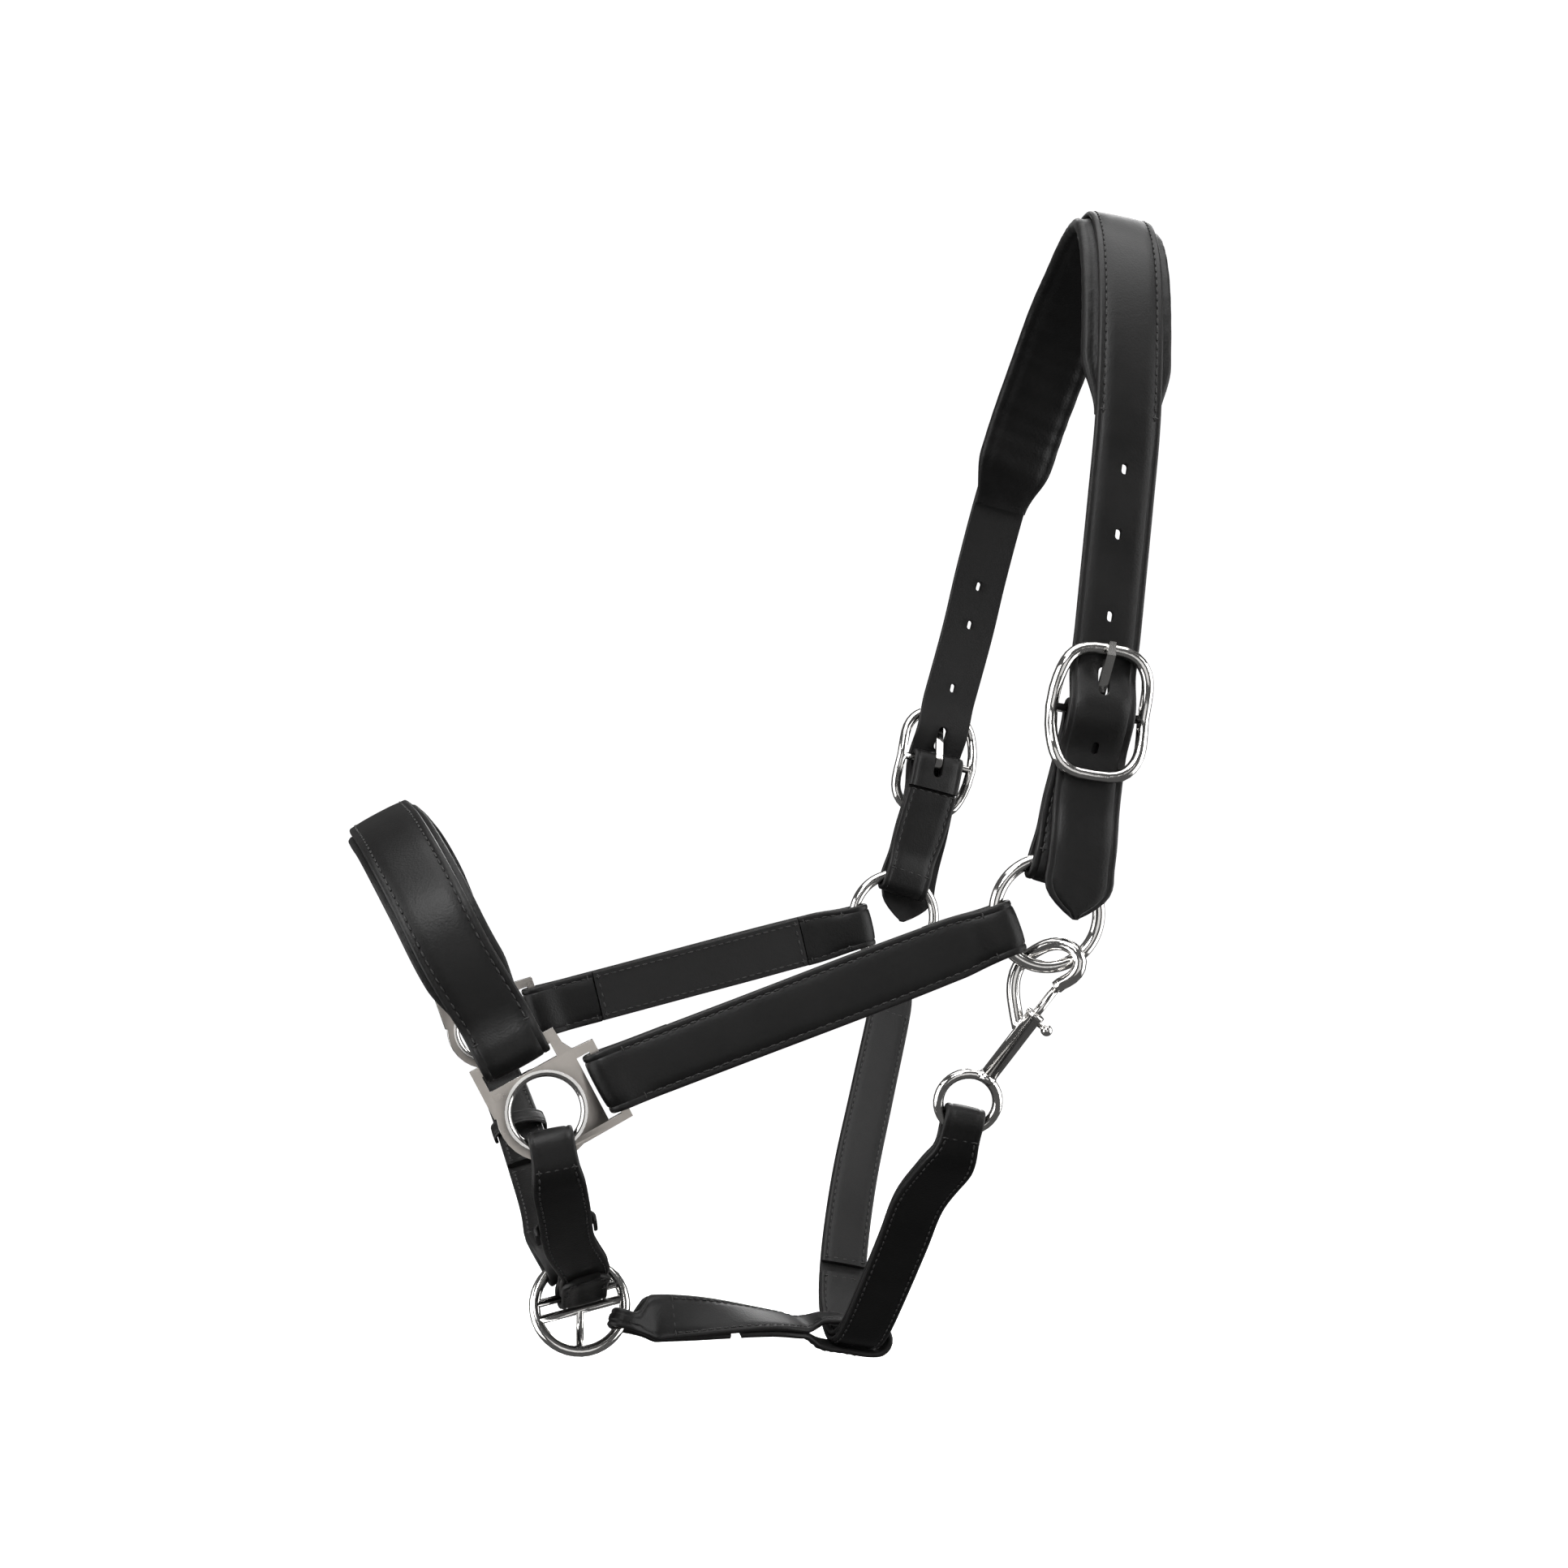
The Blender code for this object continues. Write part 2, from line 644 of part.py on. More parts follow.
def make_squares():
    for side in SIDES:
        name = side.name + "_square"
        flat = bpy.data.curves.new(name, "CURVE")
        flat.dimensions = "2D"
        flat.fill_mode = "BOTH"
        flat.extrude = SQUARE_HALF_THICK
        lower_ring = arc((0, 0), 0.0168, 292, 160, 12)
        hole = arc((0, 0), SQUARE_HOLE, 0, 352.5, 47)
        for outline in (list(SQUARE_OUTLINE) + lower_ring, hole, NOSE_SLOT, CHEEK_SLOT):
            spline = flat.splines.new("POLY")
            spline.points.add(len(outline) - 1)
            for node, (x, y) in zip(spline.points, outline):
                node.co = (x, y, 0, 1)
            spline.use_cyclic_u = True
        holder = bpy.data.objects.new(name + "_plate", flat)
        parts.objects.link(holder)
        centre = square_place(side)
        right = side.heading(side.square_angle)
        up = side.heading(side.square_angle + 90)
        holder.matrix_world = Matrix.Translation(centre) @ Matrix(
            (right, up, right.cross(up))).transposed().to_4x4()
        plate = curve_to_mesh(name, holder, metal_material(name))
        rim = torus(name + "_rim", centre, side.out, SQUARE_HOLE + 0.0004, SQUARE_RIM + 0.0006,
                    major=48, minor=8)
        combine(plate, rim, "UNION")


# ---- noseband ------------------------------------------------------------------------
def nose_bar_place(side):
    centre = side.at(side.square_angle + 90, NOSE_BAR, 0, square_place(side))
    return side.at(side.square_angle, -0.0009, 0, centre)


def nose_points():
    """Middle of the noseband over the nose, from the near square to the far one."""
    return [from_rings(*place) for place in (
        (-206, -91.5, -14), (-215, -86, 4), (-222.5, -72, 19), (-227.5, -50, 29),
        (-230.0, -25, 33.5), (-230.5, 0, 35.5), (-228.5, 25, 36), (-224, 50, 34),
        (-217, 72, 27), (-208.5, 86, 13), (-200.5, 91.5, -6))]


def noseband_line():
    """(point, across) from the near loop's front to the far loop's front."""
    starts = []
    for side in SIDES:
        bar = nose_bar_place(side)
        starts.append([side.at(side.square_angle + 90, s, n, bar) for s, n in (
            (0.002, BAR_POCKET), (0.005, BAR_POCKET - 0.0003), (0.009, 0.0022), (0.014, LAYER))])
    near_end, far_end = starts
    arch = smooth_line([near_end[-1]] + nose_points() + [far_end[-1]], 0.0065)
    points = near_end[:-1] + arch + list(reversed(far_end[:-1]))
    near_across = NEAR.heading(NEAR.square_angle)
    far_across = FAR.heading(FAR.square_angle)
    top_across = Vector((math.cos(math.radians(29)), 0, math.sin(math.radians(29))))
    line = []
    for point in points:
        t = (point.y + NOSE_HALF_WIDTH) / (2 * NOSE_HALF_WIDTH)
        if t < 0.5:
            across = near_across.lerp(top_across, ease(t * 2))
        else:
            across = top_across.lerp(far_across, ease(t * 2 - 1))
        line.append((point, across.normalized()))
    return line


def make_noseband():
    line = noseband_line()
    stations = [(point, across, HEAD_WIDTH - 0.0005) for point, across in line]
    for side, end in ((NEAR, 0), (FAR, -1)):
        bar = nose_bar_place(side)
        across = side.heading(side.square_angle)
        fold = arc((0, 0), BAR_POCKET, 90, 270, 8)
        fold += [(0.002, -BAR_POCKET), (0.005, -BAR_POCKET + 0.0003), (0.009, -0.0022),
                 (0.014, -LAYER)]
        turned = [(side.at(side.square_angle + 90, s, n, bar), across, HEAD_WIDTH - 0.0005)
                  for s, n in fold]
        if end == 0:
            stations = list(reversed(turned)) + stations
        else:
            stations = stations + turned
    ribbon("noseband_strap", stations, LEATHER, leather_material("noseband_strap"), NEAR.ring)
    make_nose_pad(line)


def make_nose_pad(line):
    middle = Vector((RING_BACK - 0.20, 0, -RING_DROP - 0.05))
    inside = [item for item in line if (item[0] - nose_bar_place(NEAR)).length > 0.0175
              and (item[0] - nose_bar_place(FAR)).length > 0.0175]
    last = len(inside) - 1
    stations = []
    for k, (point, across) in enumerate(inside):
        onward = (inside[min(k + 1, last)][0] - inside[max(k - 1, 0)][0]).normalized()
        out = onward.cross(across).normalized()
        out = out if out.dot(point - middle) > 0 else -out
        fade = ease(min(k, last - k) / 3)
        half_thick = mix(0.0011, NOSE_PAD_DEPTH / 2, fade)
        half_width = mix(HEAD_WIDTH / 2 - 0.0005, NOSE_PAD_WIDTH / 2, fade)
        place = point - out * (LEATHER / 2 + GAP + half_thick + 0.0001)
        stations.append((place, across, out, half_width, half_thick))
    padded_band("noseband_pad", stations, leather_material("noseband_pad"), NEAR.ring)


# ---- straps of two layers ----------------------------------------------------------------
class Midline:
    """The middle of a two-layer strap: a smooth line with a direction across and a
    direction out at every point. Before its start and past its end it runs straight. It
    turns from its first direction across to its last between the shares hold and settle."""

    def __init__(self, points, across_start, across_end, outside, hold=0.0, settle=1.0):
        self.points = smooth_line(points, 0.003)
        self.outs = []
        self.acrosses = []
        self.travelled = [0.0]
        last = len(self.points) - 1
        for one, two in zip(self.points, self.points[1:]):
            self.travelled.append(self.travelled[-1] + (two - one).length)
        self.length = self.travelled[-1]
        for k, point in enumerate(self.points):
            onward = (self.points[min(k + 1, last)] - self.points[max(k - 1, 0)]).normalized()
            across = across_start.lerp(across_end, ease((k / last - hold) / (settle - hold)))
            across = (across - onward * across.dot(onward)).normalized()
            out = onward.cross(across).normalized()
            if k == 0:
                self.sign = 1 if out.dot(outside) > 0 else -1
            self.acrosses.append(across)
            self.outs.append(out * self.sign)

    def at(self, s, n):
        """(point, across) at a distance s along the line and n outside it."""
        if s <= 0:
            index, share, extra = 0, 0.0, s
        elif s >= self.length:
            index, share, extra = len(self.points) - 2, 1.0, s - self.length
        else:
            index = max(k for k in range(len(self.points) - 1) if self.travelled[k] <= s)
            share = (s - self.travelled[index]) / (self.travelled[index + 1] - self.travelled[index])
            extra = 0.0
        onward = (self.points[index + 1] - self.points[index]).normalized()
        point = self.points[index].lerp(self.points[index + 1], share) + onward * extra
        out = self.outs[index].lerp(self.outs[index + 1], share).normalized()
        across = self.acrosses[index].lerp(self.acrosses[index + 1], share).normalized()
        return point + out * n, across


class Loop:
    """How a strap passes round a fitting. Distances are from the strap's own end of the
    midline: edge is the middle of the turn, crest is where the layers may close again."""

    def __init__(self, pocket, edge, crest):
        self.pocket = pocket
        self.edge = edge
        self.crest = crest


def two_layer_strap(name, midline, start, end, width, tab=0.0, tab_gap=0.0):
    """One strip that runs round both fittings. With a tab, its outer end turns up over the
    outside at the end fitting; without, the two ends meet on the inside."""
    length = midline.length

    def height(s):
        if s < length / 2:
            return mix(start.pocket, LAYER, ease((s - start.crest) / CONVERGE))
        return mix(end.pocket, LAYER, ease((length - s - end.crest) / CONVERGE))

    far_edge = length - end.edge
    count = round((far_edge - start.edge) / 0.0045)
    body = [mix(start.edge, far_edge, k / count) for k in range(1, count)]
    fold_start = arc((start.edge, 0), start.pocket, 270, 90, 8)
    if tab > 0:
        step = LEATHER + GAP
        tab_start = far_edge - tab
        path = []
        for share in (0.0, 0.12, 0.35, 0.6, 0.8, 1.0):
            s = mix(tab_start, far_edge, share)
            path.append((s, mix(height(s) + step, end.pocket, ease((share - 0.75) * 4))))
        path += arc((far_edge, 0), end.pocket, 75, -90, 7)
        path += [(s, -height(s)) for s in reversed(body)]
        path += fold_start
        path += [(s, height(s)) for s in body if s < far_edge - 0.0050]
    else:
        path = [(s, -height(s)) for s in reversed(body) if s < length / 2 - tab_gap]
        path += fold_start
        path += [(s, height(s)) for s in body]
        path += arc((far_edge, 0), end.pocket, 90, -90, 8)
        path += [(s, -height(s)) for s in reversed(body) if s > length / 2 + tab_gap]
    stations = []
    for k, (s, n) in enumerate(path):
        point, across = midline.at(s, n)
        wide = width(s)
        if tab > 0 and k < 2:
            wide = wide * (0.55, 0.92)[k]
        stations.append((point, across, wide))
    return ribbon(name, stations, LEATHER, leather_material(name), midline.points[0])


# ---- chin ring -----------------------------------------------------------------------
CHIN_RING = from_rings(-155, -14, -148)
CHIN_TILT = math.radians(24)
CHIN_RIGHT = Vector((1, 0, 0))
CHIN_UP = Vector((0, math.sin(CHIN_TILT), math.cos(CHIN_TILT)))
CHIN_OUT = CHIN_RIGHT.cross(CHIN_UP)        # towards the near side
CHIN_BAR_ANGLE = 12.0
CHIN_BAR = 0.0016                           # radius of both bars and the post
CHIN_BAR_RISE = -0.0016                     # bars above the ring's centre
STRAP_BAR_RISE = 0.0044


def on_chin_ring(angle, distance, n=0.0):
    angle = math.radians(angle)
    flat = CHIN_RIGHT * math.cos(angle) + CHIN_UP * math.sin(angle)
    return CHIN_RING + flat * distance + CHIN_OUT * n


CHIN_BAR_LINE = on_chin_ring(CHIN_BAR_ANGLE, 1.0) - CHIN_RING
STRAP_BAR = on_chin_ring(CHIN_BAR_ANGLE + 90, STRAP_BAR_RISE)


def chin_bar(name, rise, radius):
    length = 2 * math.sqrt(CHIN_RING_RADIUS ** 2 - rise ** 2)
    middle = on_chin_ring(CHIN_BAR_ANGLE + 90, rise)
    return cylinder(name, middle, CHIN_BAR_LINE, radius, length, sides=12)


def make_chin_ring():
    metal = metal_material("chin_ring")
    ring = torus("chin_ring", CHIN_RING, CHIN_OUT, CHIN_RING_RADIUS, CHIN_RING_WIRE, metal, major=40)
    bar = chin_bar("chin_ring_bar", CHIN_BAR_RISE, CHIN_BAR)
    strap_bar = chin_bar("chin_ring_strap_bar", STRAP_BAR_RISE, CHIN_BAR - 0.0001)
    post_length = CHIN_RING_RADIUS + CHIN_BAR_RISE
    post = cylinder("chin_ring_post", on_chin_ring(268, CHIN_RING_RADIUS - post_length / 2),
                    on_chin_ring(268, 1.0) - CHIN_RING, CHIN_BAR - 0.0002, post_length, sides=12)
    for piece in (bar, strap_bar, post):
        combine(ring, piece, "UNION")


# ---- chin straps -----------------------------------------------------------------------
CHIN_NECK = 0.0155          # width where a chin strap passes round a square's ring


def square_loop():
    inner = SQUARE_HOLE + 0.0004 - SQUARE_RIM - 0.0006
    pocket = 0.0018 + EASE + LEATHER / 2
    at_edges = math.sqrt(inner ** 2 - (CHIN_NECK / 2) ** 2)
    return Loop(pocket, at_edges - EASE + pocket - LEATHER / 2, 0.0172)


def chin_width(s, length, end_width):
    wide = mix(CHIN_NECK, CHIN_WIDTH, ease((s - 0.015) / 0.015))
    return mix(end_width, wide, ease((length - s - 0.008) / 0.015))


def chin_midline(side, heading, places, arrival, target, target_across):
    hole = square_place(side)
    away = side.heading(heading)
    points = [hole, hole + away * 0.012, hole + away * 0.0195]
    points += [hole + away * 0.026 - side.out * 0.0035]
    points += [from_rings(*place) for place in places]
    points += [target + arrival * 0.025, target + arrival * 0.018, target]
    return Midline(points, side.heading(heading + 90), target_across, side.out)


def make_chin_straps():
    bar_end = Loop(CHIN_BAR - 0.0001 + EASE + LEATHER / 2, 0.0, 0.0030)
    near_target = STRAP_BAR + CHIN_BAR_LINE * 0.0010
    near_line = chin_midline(NEAR, 280, ((-168, -76, -102), (-163.5, -54, -117.5)),
                             Vector((-0.03, -0.84, 0.53)), near_target, CHIN_BAR_LINE)
    two_layer_strap("near_chin_strap", near_line, square_loop(), bar_end,
                    lambda s: chin_width(s, near_line.length, CHIN_WIDTH - 0.001), tab=0.024)

    rim_angle = CHIN_BAR_ANGLE + 102
    neck = 0.0130
    pocket = CHIN_RING_WIRE + EASE + LEATHER / 2
    rim_end = Loop(pocket, loop_edge(neck / 2, CHIN_RING_RADIUS, CHIN_RING_WIRE), CHIN_RING_RADIUS)
    outward = on_chin_ring(rim_angle, 1.0) - CHIN_RING
    far_line = chin_midline(FAR, 286, ((-172, 72, -88), (-167.5, 40, -106), (-165.5, 14, -117)),
                            outward, CHIN_RING.copy(), outward.cross(CHIN_OUT))
    two_layer_strap("far_chin_strap", far_line, square_loop(), rim_end,
                    lambda s: mix(neck, chin_width(s, 1.0, CHIN_WIDTH),
                                  ease((far_line.length - s - 0.020) / 0.015)))
    make_keeper("near_chin_keeper", near_line, near_line.length * 0.50)
    make_keeper("far_chin_keeper", far_line, far_line.length * 0.34)


def make_keeper(name, midline, middle):
    """A band stitched in at the edges of the outer layer, round the inner layer."""
    thick = 0.0014
    half = CHIN_WIDTH / 2 + GAP + thick / 2
    under = LAYER + LEATHER / 2 + GAP + thick / 2
    corner = 0.0008
    section = [(-half, 0.0006), (-half, corner - under)]
    section += [(-half + corner, -under), (half - corner, -under)]
    section += [(half, corner - under), (half, 0.0006)]
    point, across = midline.at(middle, 0.0)
    outer_point, across = midline.at(middle, 1.0)
    out = outer_point - point
    along = across.cross(out).normalized()
    stations = [(point + across * w + out * n, along, 0.0085) for w, n in section]
    ribbon(name, stations, thick, leather_material(name), point)


# ---- bolt snap -----------------------------------------------------------------------------
SNAP_AXIS = Vector((0.535, -0.300, 0.790)).normalized()     # from the swivel eye to the hook
SNAP_FAR = (Vector((0, 1, 0)) - SNAP_AXIS * SNAP_AXIS.y).normalized()
SNAP_LEFT = SNAP_AXIS.cross(SNAP_FAR)
HOOK_TURN = math.radians(32)                                # hook's plane about the snap's axis
HOOK_SIDE = SNAP_LEFT * math.cos(HOOK_TURN) + SNAP_FAR * math.sin(HOOK_TURN)
HOOK_WIRE = 0.0024
BARREL = 0.0030
BARREL_LENGTH = 0.0275
BOLT = 0.0015
BOLT_TIP = 0.0388
BOLT_FOOT = 0.0180
BOLT_TRAVEL = 0.0090
KNOB = 0.0246               # thumb knob's stem above the foot of the barrel
BORE_FLOOR = 0.0060
SNAP_FOOT = NEAR.at(275, RING_RADIUS) - SNAP_AXIS * 0.0440 - HOOK_SIDE * 0.0058


def on_snap(along, side=0.0):
    return SNAP_FOOT + SNAP_AXIS * along + HOOK_SIDE * side


def make_snap():
    turned = [on_snap(a * MM, b * MM) for a, b in (
        (19.5, 1.8), (23.0, 6.0), (28.0, 11.3), (33.0, 14.5), (38.0, 15.6), (43.5, 14.4),
        (49.2, 11.6), (52.8, 7.4), (53.6, 2.6), (51.4, -1.3), (47.2, -2.5), (43.2, -1.4),
        (40.9, -0.3), (39.3, 0.0))]
    body = wire("snap_body", smooth_line(turned, 0.0022), HOOK_WIRE, False, metal_material("snap_body"))
    barrel = cylinder("snap_barrel", on_snap(BARREL_LENGTH / 2), SNAP_AXIS, BARREL, BARREL_LENGTH,
                      sides=24)
    lip = cylinder("snap_barrel_lip", on_snap(BARREL_LENGTH - 0.0007), SNAP_AXIS, BARREL + 0.0004,
                   0.0014, sides=24)
    combine(body, barrel, "UNION")
    combine(body, lip, "UNION")
    bore_length = BARREL_LENGTH - BORE_FLOOR + 0.0040
    bore = cylinder("snap_bore", on_snap(BORE_FLOOR + bore_length / 2), SNAP_AXIS,
                    BOLT + 0.0003, bore_length)
    combine(body, bore, "DIFFERENCE")
    slot_low = KNOB - BOLT_TRAVEL - 0.0012
    slot_high = KNOB + 0.0012
    slot = slot_cutter("snap_slot", on_snap((slot_low + slot_high) / 2) - SNAP_LEFT * 0.0030,
                       SNAP_LEFT, SNAP_AXIS, 0.0011, (slot_high - slot_low) / 2 + 0.0002, 0.0056)
    combine(body, slot, "DIFFERENCE")
    cavity = cylinder("snap_swivel_cavity", on_snap(0.0029), SNAP_AXIS, 0.0021, 0.0030)
    mouth = cylinder("snap_swivel_mouth", on_snap(0.0), SNAP_AXIS, 0.0014, 0.0040)
    combine(body, cavity, "DIFFERENCE")
    combine(body, mouth, "DIFFERENCE")
    set_origin(body, SNAP_FOOT)

    cylinder("snap_bolt", on_snap((BOLT_FOOT + BOLT_TIP) / 2), SNAP_AXIS, BOLT, BOLT_TIP - BOLT_FOOT,
             metal_material("snap_bolt"))
    make_knob()
    make_spring()
    make_swivel_eye()


def make_knob():
    """Thumb knob: a stem riveted to the bolt with a ball head."""
    outward = -SNAP_LEFT
    stem_start = BOLT + GAP
    stem_end = 0.0066
    metal = metal_material("snap_knob")
    stem = cylinder("snap_knob", on_snap(KNOB) + outward * (stem_start + stem_end) / 2, outward,
                    0.0008, stem_end - stem_start, metal, sides=12)
    bpy.ops.mesh.primitive_uv_sphere_add(segments=16, ring_count=10, radius=0.0021)
    ball = primitive("snap_knob_ball", None, parts, facing(outward, on_snap(KNOB) + outward * 0.0068))
    combine(stem, ball, "UNION")


def make_spring():
    """Return spring at its closed length, clear of the bolt's travel."""
    turns = 4
    low = BORE_FLOOR + 0.0004
    high = BOLT_FOOT - BOLT_TRAVEL - 0.0004
    steps = turns * 10
    line = []
    for k in range(steps + 1):
        angle = math.tau * turns * k / steps
        spot = SNAP_FAR * math.cos(angle) + SNAP_LEFT * math.sin(angle)
        line.append(on_snap(mix(low, high, k / steps)) + spot * 0.0012)
    wire("snap_spring", line, 0.0002, False, metal_material("snap_spring"), resolution=0)


EYE_RADIUS = 0.0106
EYE_WIRE = 0.0019
EYE_CENTRE = SNAP_FOOT - SNAP_AXIS * (EYE_RADIUS + 0.0022)


def make_swivel_eye():
    eye = torus("snap_swivel_eye", EYE_CENTRE, SNAP_FAR, EYE_RADIUS, EYE_WIRE,
                metal_material("snap_swivel_eye"), major=36)
    collar = cylinder("snap_eye_collar", on_snap(-0.0016), SNAP_AXIS, 0.0033, 0.0026, sides=20)
    pin = cylinder("snap_eye_pin", on_snap(0.0004), SNAP_AXIS, 0.0011, 0.0060)
    head = cylinder("snap_eye_head", on_snap(0.0029), SNAP_AXIS, 0.0018, 0.0022)
    for piece in (collar, pin, head):
        combine(eye, piece, "UNION")
    set_origin(eye, EYE_CENTRE)


# ---- throat strap --------------------------------------------------------------------------
THROAT_NECK = 0.0145
THROAT_LOW = from_rings(-46.5, -2, -167)


def make_throat_strap():
    downward = Vector((-0.22, 0.10, -1.0))
    downward = (downward - SNAP_FAR * downward.dot(SNAP_FAR)).normalized()
    tangent = downward.cross(SNAP_FAR)
    tangent = tangent if tangent.x > 0 else -tangent
    ring_heading = FAR.heading(266)
    ring_across = FAR.heading(356)
    points = [EYE_CENTRE, EYE_CENTRE + downward * 0.012, EYE_CENTRE + downward * 0.022]
    points += [from_rings(*place) for place in (
        (-35.0, -59, -105.5), (-37.5, -44, -123.5), (-41.5, -29, -144.5), (-44.5, -16, -160.5))]
    points += [THROAT_LOW + Vector((0, -0.006, 0)), THROAT_LOW + Vector((0, 0.006, 0))]
    points += [from_rings(*place) for place in (
        (-45.5, 18, -158), (-41, 32, -139), (-32.0, 50, -112), (-18.5, 73, -81))]
    points += [FAR.ring + ring_heading * 0.040 - FAR.out * 0.003, FAR.ring + ring_heading * 0.028,
               FAR.ring.copy()]
    midline = Midline(points, tangent, ring_across, Vector((0, -1, 0)))
    eye_loop = Loop(EYE_WIRE + EASE + LEATHER / 2,
                    loop_edge(THROAT_NECK / 2, EYE_RADIUS, EYE_WIRE), EYE_RADIUS)
    ring_loop = Loop(RING_POCKET, loop_edge(THROAT_NECK / 2), RING_RADIUS)

    def width(s):
        wide = mix(THROAT_NECK, THROAT_WIDTH, ease((s - 0.013) / 0.015))
        return mix(THROAT_NECK, wide, ease((midline.length - s - 0.020) / 0.015))

    two_layer_strap("throat_strap", midline, eye_loop, ring_loop, width, tab_gap=0.0006)
    return midline


# ---- back strap ----------------------------------------------------------------------------
BACK_NECK = 0.0072
BACK_RIM_ANGLE = -21.5


def make_back_strap(throat):
    """From the chin ring to a tunnel round the lowest part of the throat strap."""
    low = min(range(len(throat.points)), key=lambda k: throat.points[k].z)
    rearward = throat.acrosses[low]
    middle = throat.points[low] - throat.outs[low] * 0.0012
    sideways = throat.outs[low].cross(rearward)
    sideways = sideways if sideways.y > 0 else -sideways
    outward = on_chin_ring(BACK_RIM_ANGLE, 1.0) - CHIN_RING
    rim_across = on_chin_ring(BACK_RIM_ANGLE + 90, 1.0) - CHIN_RING
    points = [CHIN_RING.copy(), CHIN_RING + outward * 0.020, from_rings(-127, -12.5, -154.5),
              from_rings(-113, -10, -155.5), from_rings(-99, -8, -157), from_rings(-78, -5.5, -160),
              middle - rearward * 0.018, middle - rearward * 0.008, middle,
              middle + rearward * THROAT_WIDTH / 2]
    midline = Midline(points, rim_across, sideways, Vector((0, -0.5, 0.5)), 0.10, 0.82)
    pocket = CHIN_RING_WIRE + EASE + LEATHER / 2
    rim_loop = Loop(pocket, loop_edge(BACK_NECK / 2, CHIN_RING_RADIUS, CHIN_RING_WIRE),
                    CHIN_RING_RADIUS)
    tunnel = Loop(0.0054, 0.0006, THROAT_WIDTH + 0.0010)

    def width(s):
        wide = mix(BACK_NECK, BACK_WIDTH, ease((s - 0.021) / 0.010))
        return mix(0.0130, wide, ease((midline.length - s - 0.020) / 0.020))

    two_layer_strap("back_strap", midline, rim_loop, tunnel, width, tab_gap=0.0006)


make_cheek_rings()
make_chapes()
make_buckles()
make_headpiece()
make_crown_pad()
make_cheeks()
make_squares()
make_noseband()
make_chin_ring()
make_chin_straps()
make_snap()
make_back_strap(make_throat_strap())
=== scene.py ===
"""A black leather headcollar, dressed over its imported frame: stitched straps, padded
headpiece and noseband, polished rings and buckles, cast squares and a bolt snap."""
import json
import math

import bmesh
import bpy
import numpy as np
from mathutils import Matrix, Vector


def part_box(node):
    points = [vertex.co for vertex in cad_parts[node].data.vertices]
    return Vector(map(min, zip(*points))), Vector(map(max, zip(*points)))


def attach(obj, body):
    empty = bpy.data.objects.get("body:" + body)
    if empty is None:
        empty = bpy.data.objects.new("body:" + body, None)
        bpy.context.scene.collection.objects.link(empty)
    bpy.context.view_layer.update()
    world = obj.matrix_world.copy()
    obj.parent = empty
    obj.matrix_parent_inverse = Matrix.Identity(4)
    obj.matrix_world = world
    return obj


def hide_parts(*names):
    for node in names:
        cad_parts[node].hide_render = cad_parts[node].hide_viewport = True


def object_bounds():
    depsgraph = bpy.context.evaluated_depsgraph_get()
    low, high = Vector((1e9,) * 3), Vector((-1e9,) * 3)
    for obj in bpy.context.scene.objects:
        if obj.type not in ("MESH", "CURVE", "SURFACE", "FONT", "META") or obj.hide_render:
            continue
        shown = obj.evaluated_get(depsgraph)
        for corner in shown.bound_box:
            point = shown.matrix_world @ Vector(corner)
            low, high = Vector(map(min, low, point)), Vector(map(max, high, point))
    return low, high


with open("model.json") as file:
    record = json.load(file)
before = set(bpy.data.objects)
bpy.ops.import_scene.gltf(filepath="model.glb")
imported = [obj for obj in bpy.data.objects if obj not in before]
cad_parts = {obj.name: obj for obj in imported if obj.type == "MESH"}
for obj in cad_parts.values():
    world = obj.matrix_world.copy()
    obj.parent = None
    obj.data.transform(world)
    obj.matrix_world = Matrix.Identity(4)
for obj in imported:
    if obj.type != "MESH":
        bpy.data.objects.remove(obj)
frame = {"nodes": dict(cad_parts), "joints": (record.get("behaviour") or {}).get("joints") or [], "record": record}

cad_box = [list(corner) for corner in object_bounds()]
record = frame["record"]
home = {node: body for body, members in record["behaviour"]["bodies"].items() for node in members}
joints = {joint["name"]: joint for joint in frame["joints"]}


# ---- headpiece strap ---------------------------------------------------------------
# One strip of black bridle leather over the poll, sewn to its pad along both edges.
# Each end is a pointed billet with oval punched holes, passed up through a buckle.
LEATHER = 0.0022
SEAM_INSET = 0.0026         # stitch line in from the edge of a wide strap
STITCH = 0.0034             # from one stitch to the next
WIDE_CROWN = 0.00045        # rise of a wide strap's middle on the grain side
HOLE_REACH = 0.0058         # corners closer than this belong to one hole
HOLE_STEPS = 24             # corners of a cut hole's outline


def welded(node):
    """The frame node's loose triangles joined into one surface."""
    surface = bmesh.new()
    surface.from_mesh(frame["nodes"][node].data)
    bmesh.ops.remove_doubles(surface, verts=surface.verts, dist=0.000002)
    return surface


def other_end(face, one, two):
    return next(v for v in face.verts if v not in (one, two))


def between(one, two):
    return next(e for e in one.link_edges if e.other_vert(one) == two)


def walk_rim(edge, face, thickness):
    """Follow the edges that cross the leather's thickness along the strap's cut edge,
    from one edge away through one face. Says whether the walk came back to its start."""
    start = edge
    top, low = edge.verts
    band = []
    walked = set()
    while edge not in walked and 0.5 * thickness < edge.calc_length() < 2 * thickness:
        walked.add(edge)
        band.append((top.co.copy(), low.co.copy()))
        tip = other_end(face, top, low)
        by_top, by_low = between(top, tip), between(low, tip)
        if by_top.calc_face_angle(3) < by_low.calc_face_angle(3):
            face = next(f for f in by_top.link_faces if f != face)
            top, low = other_end(face, top, tip), tip
        else:
            face = next(f for f in by_low.link_faces if f != face)
            top, low = tip, other_end(face, low, tip)
        edge = between(top, low)
        face = next(f for f in edge.link_faces if f != face)
    return band, walked, edge == start


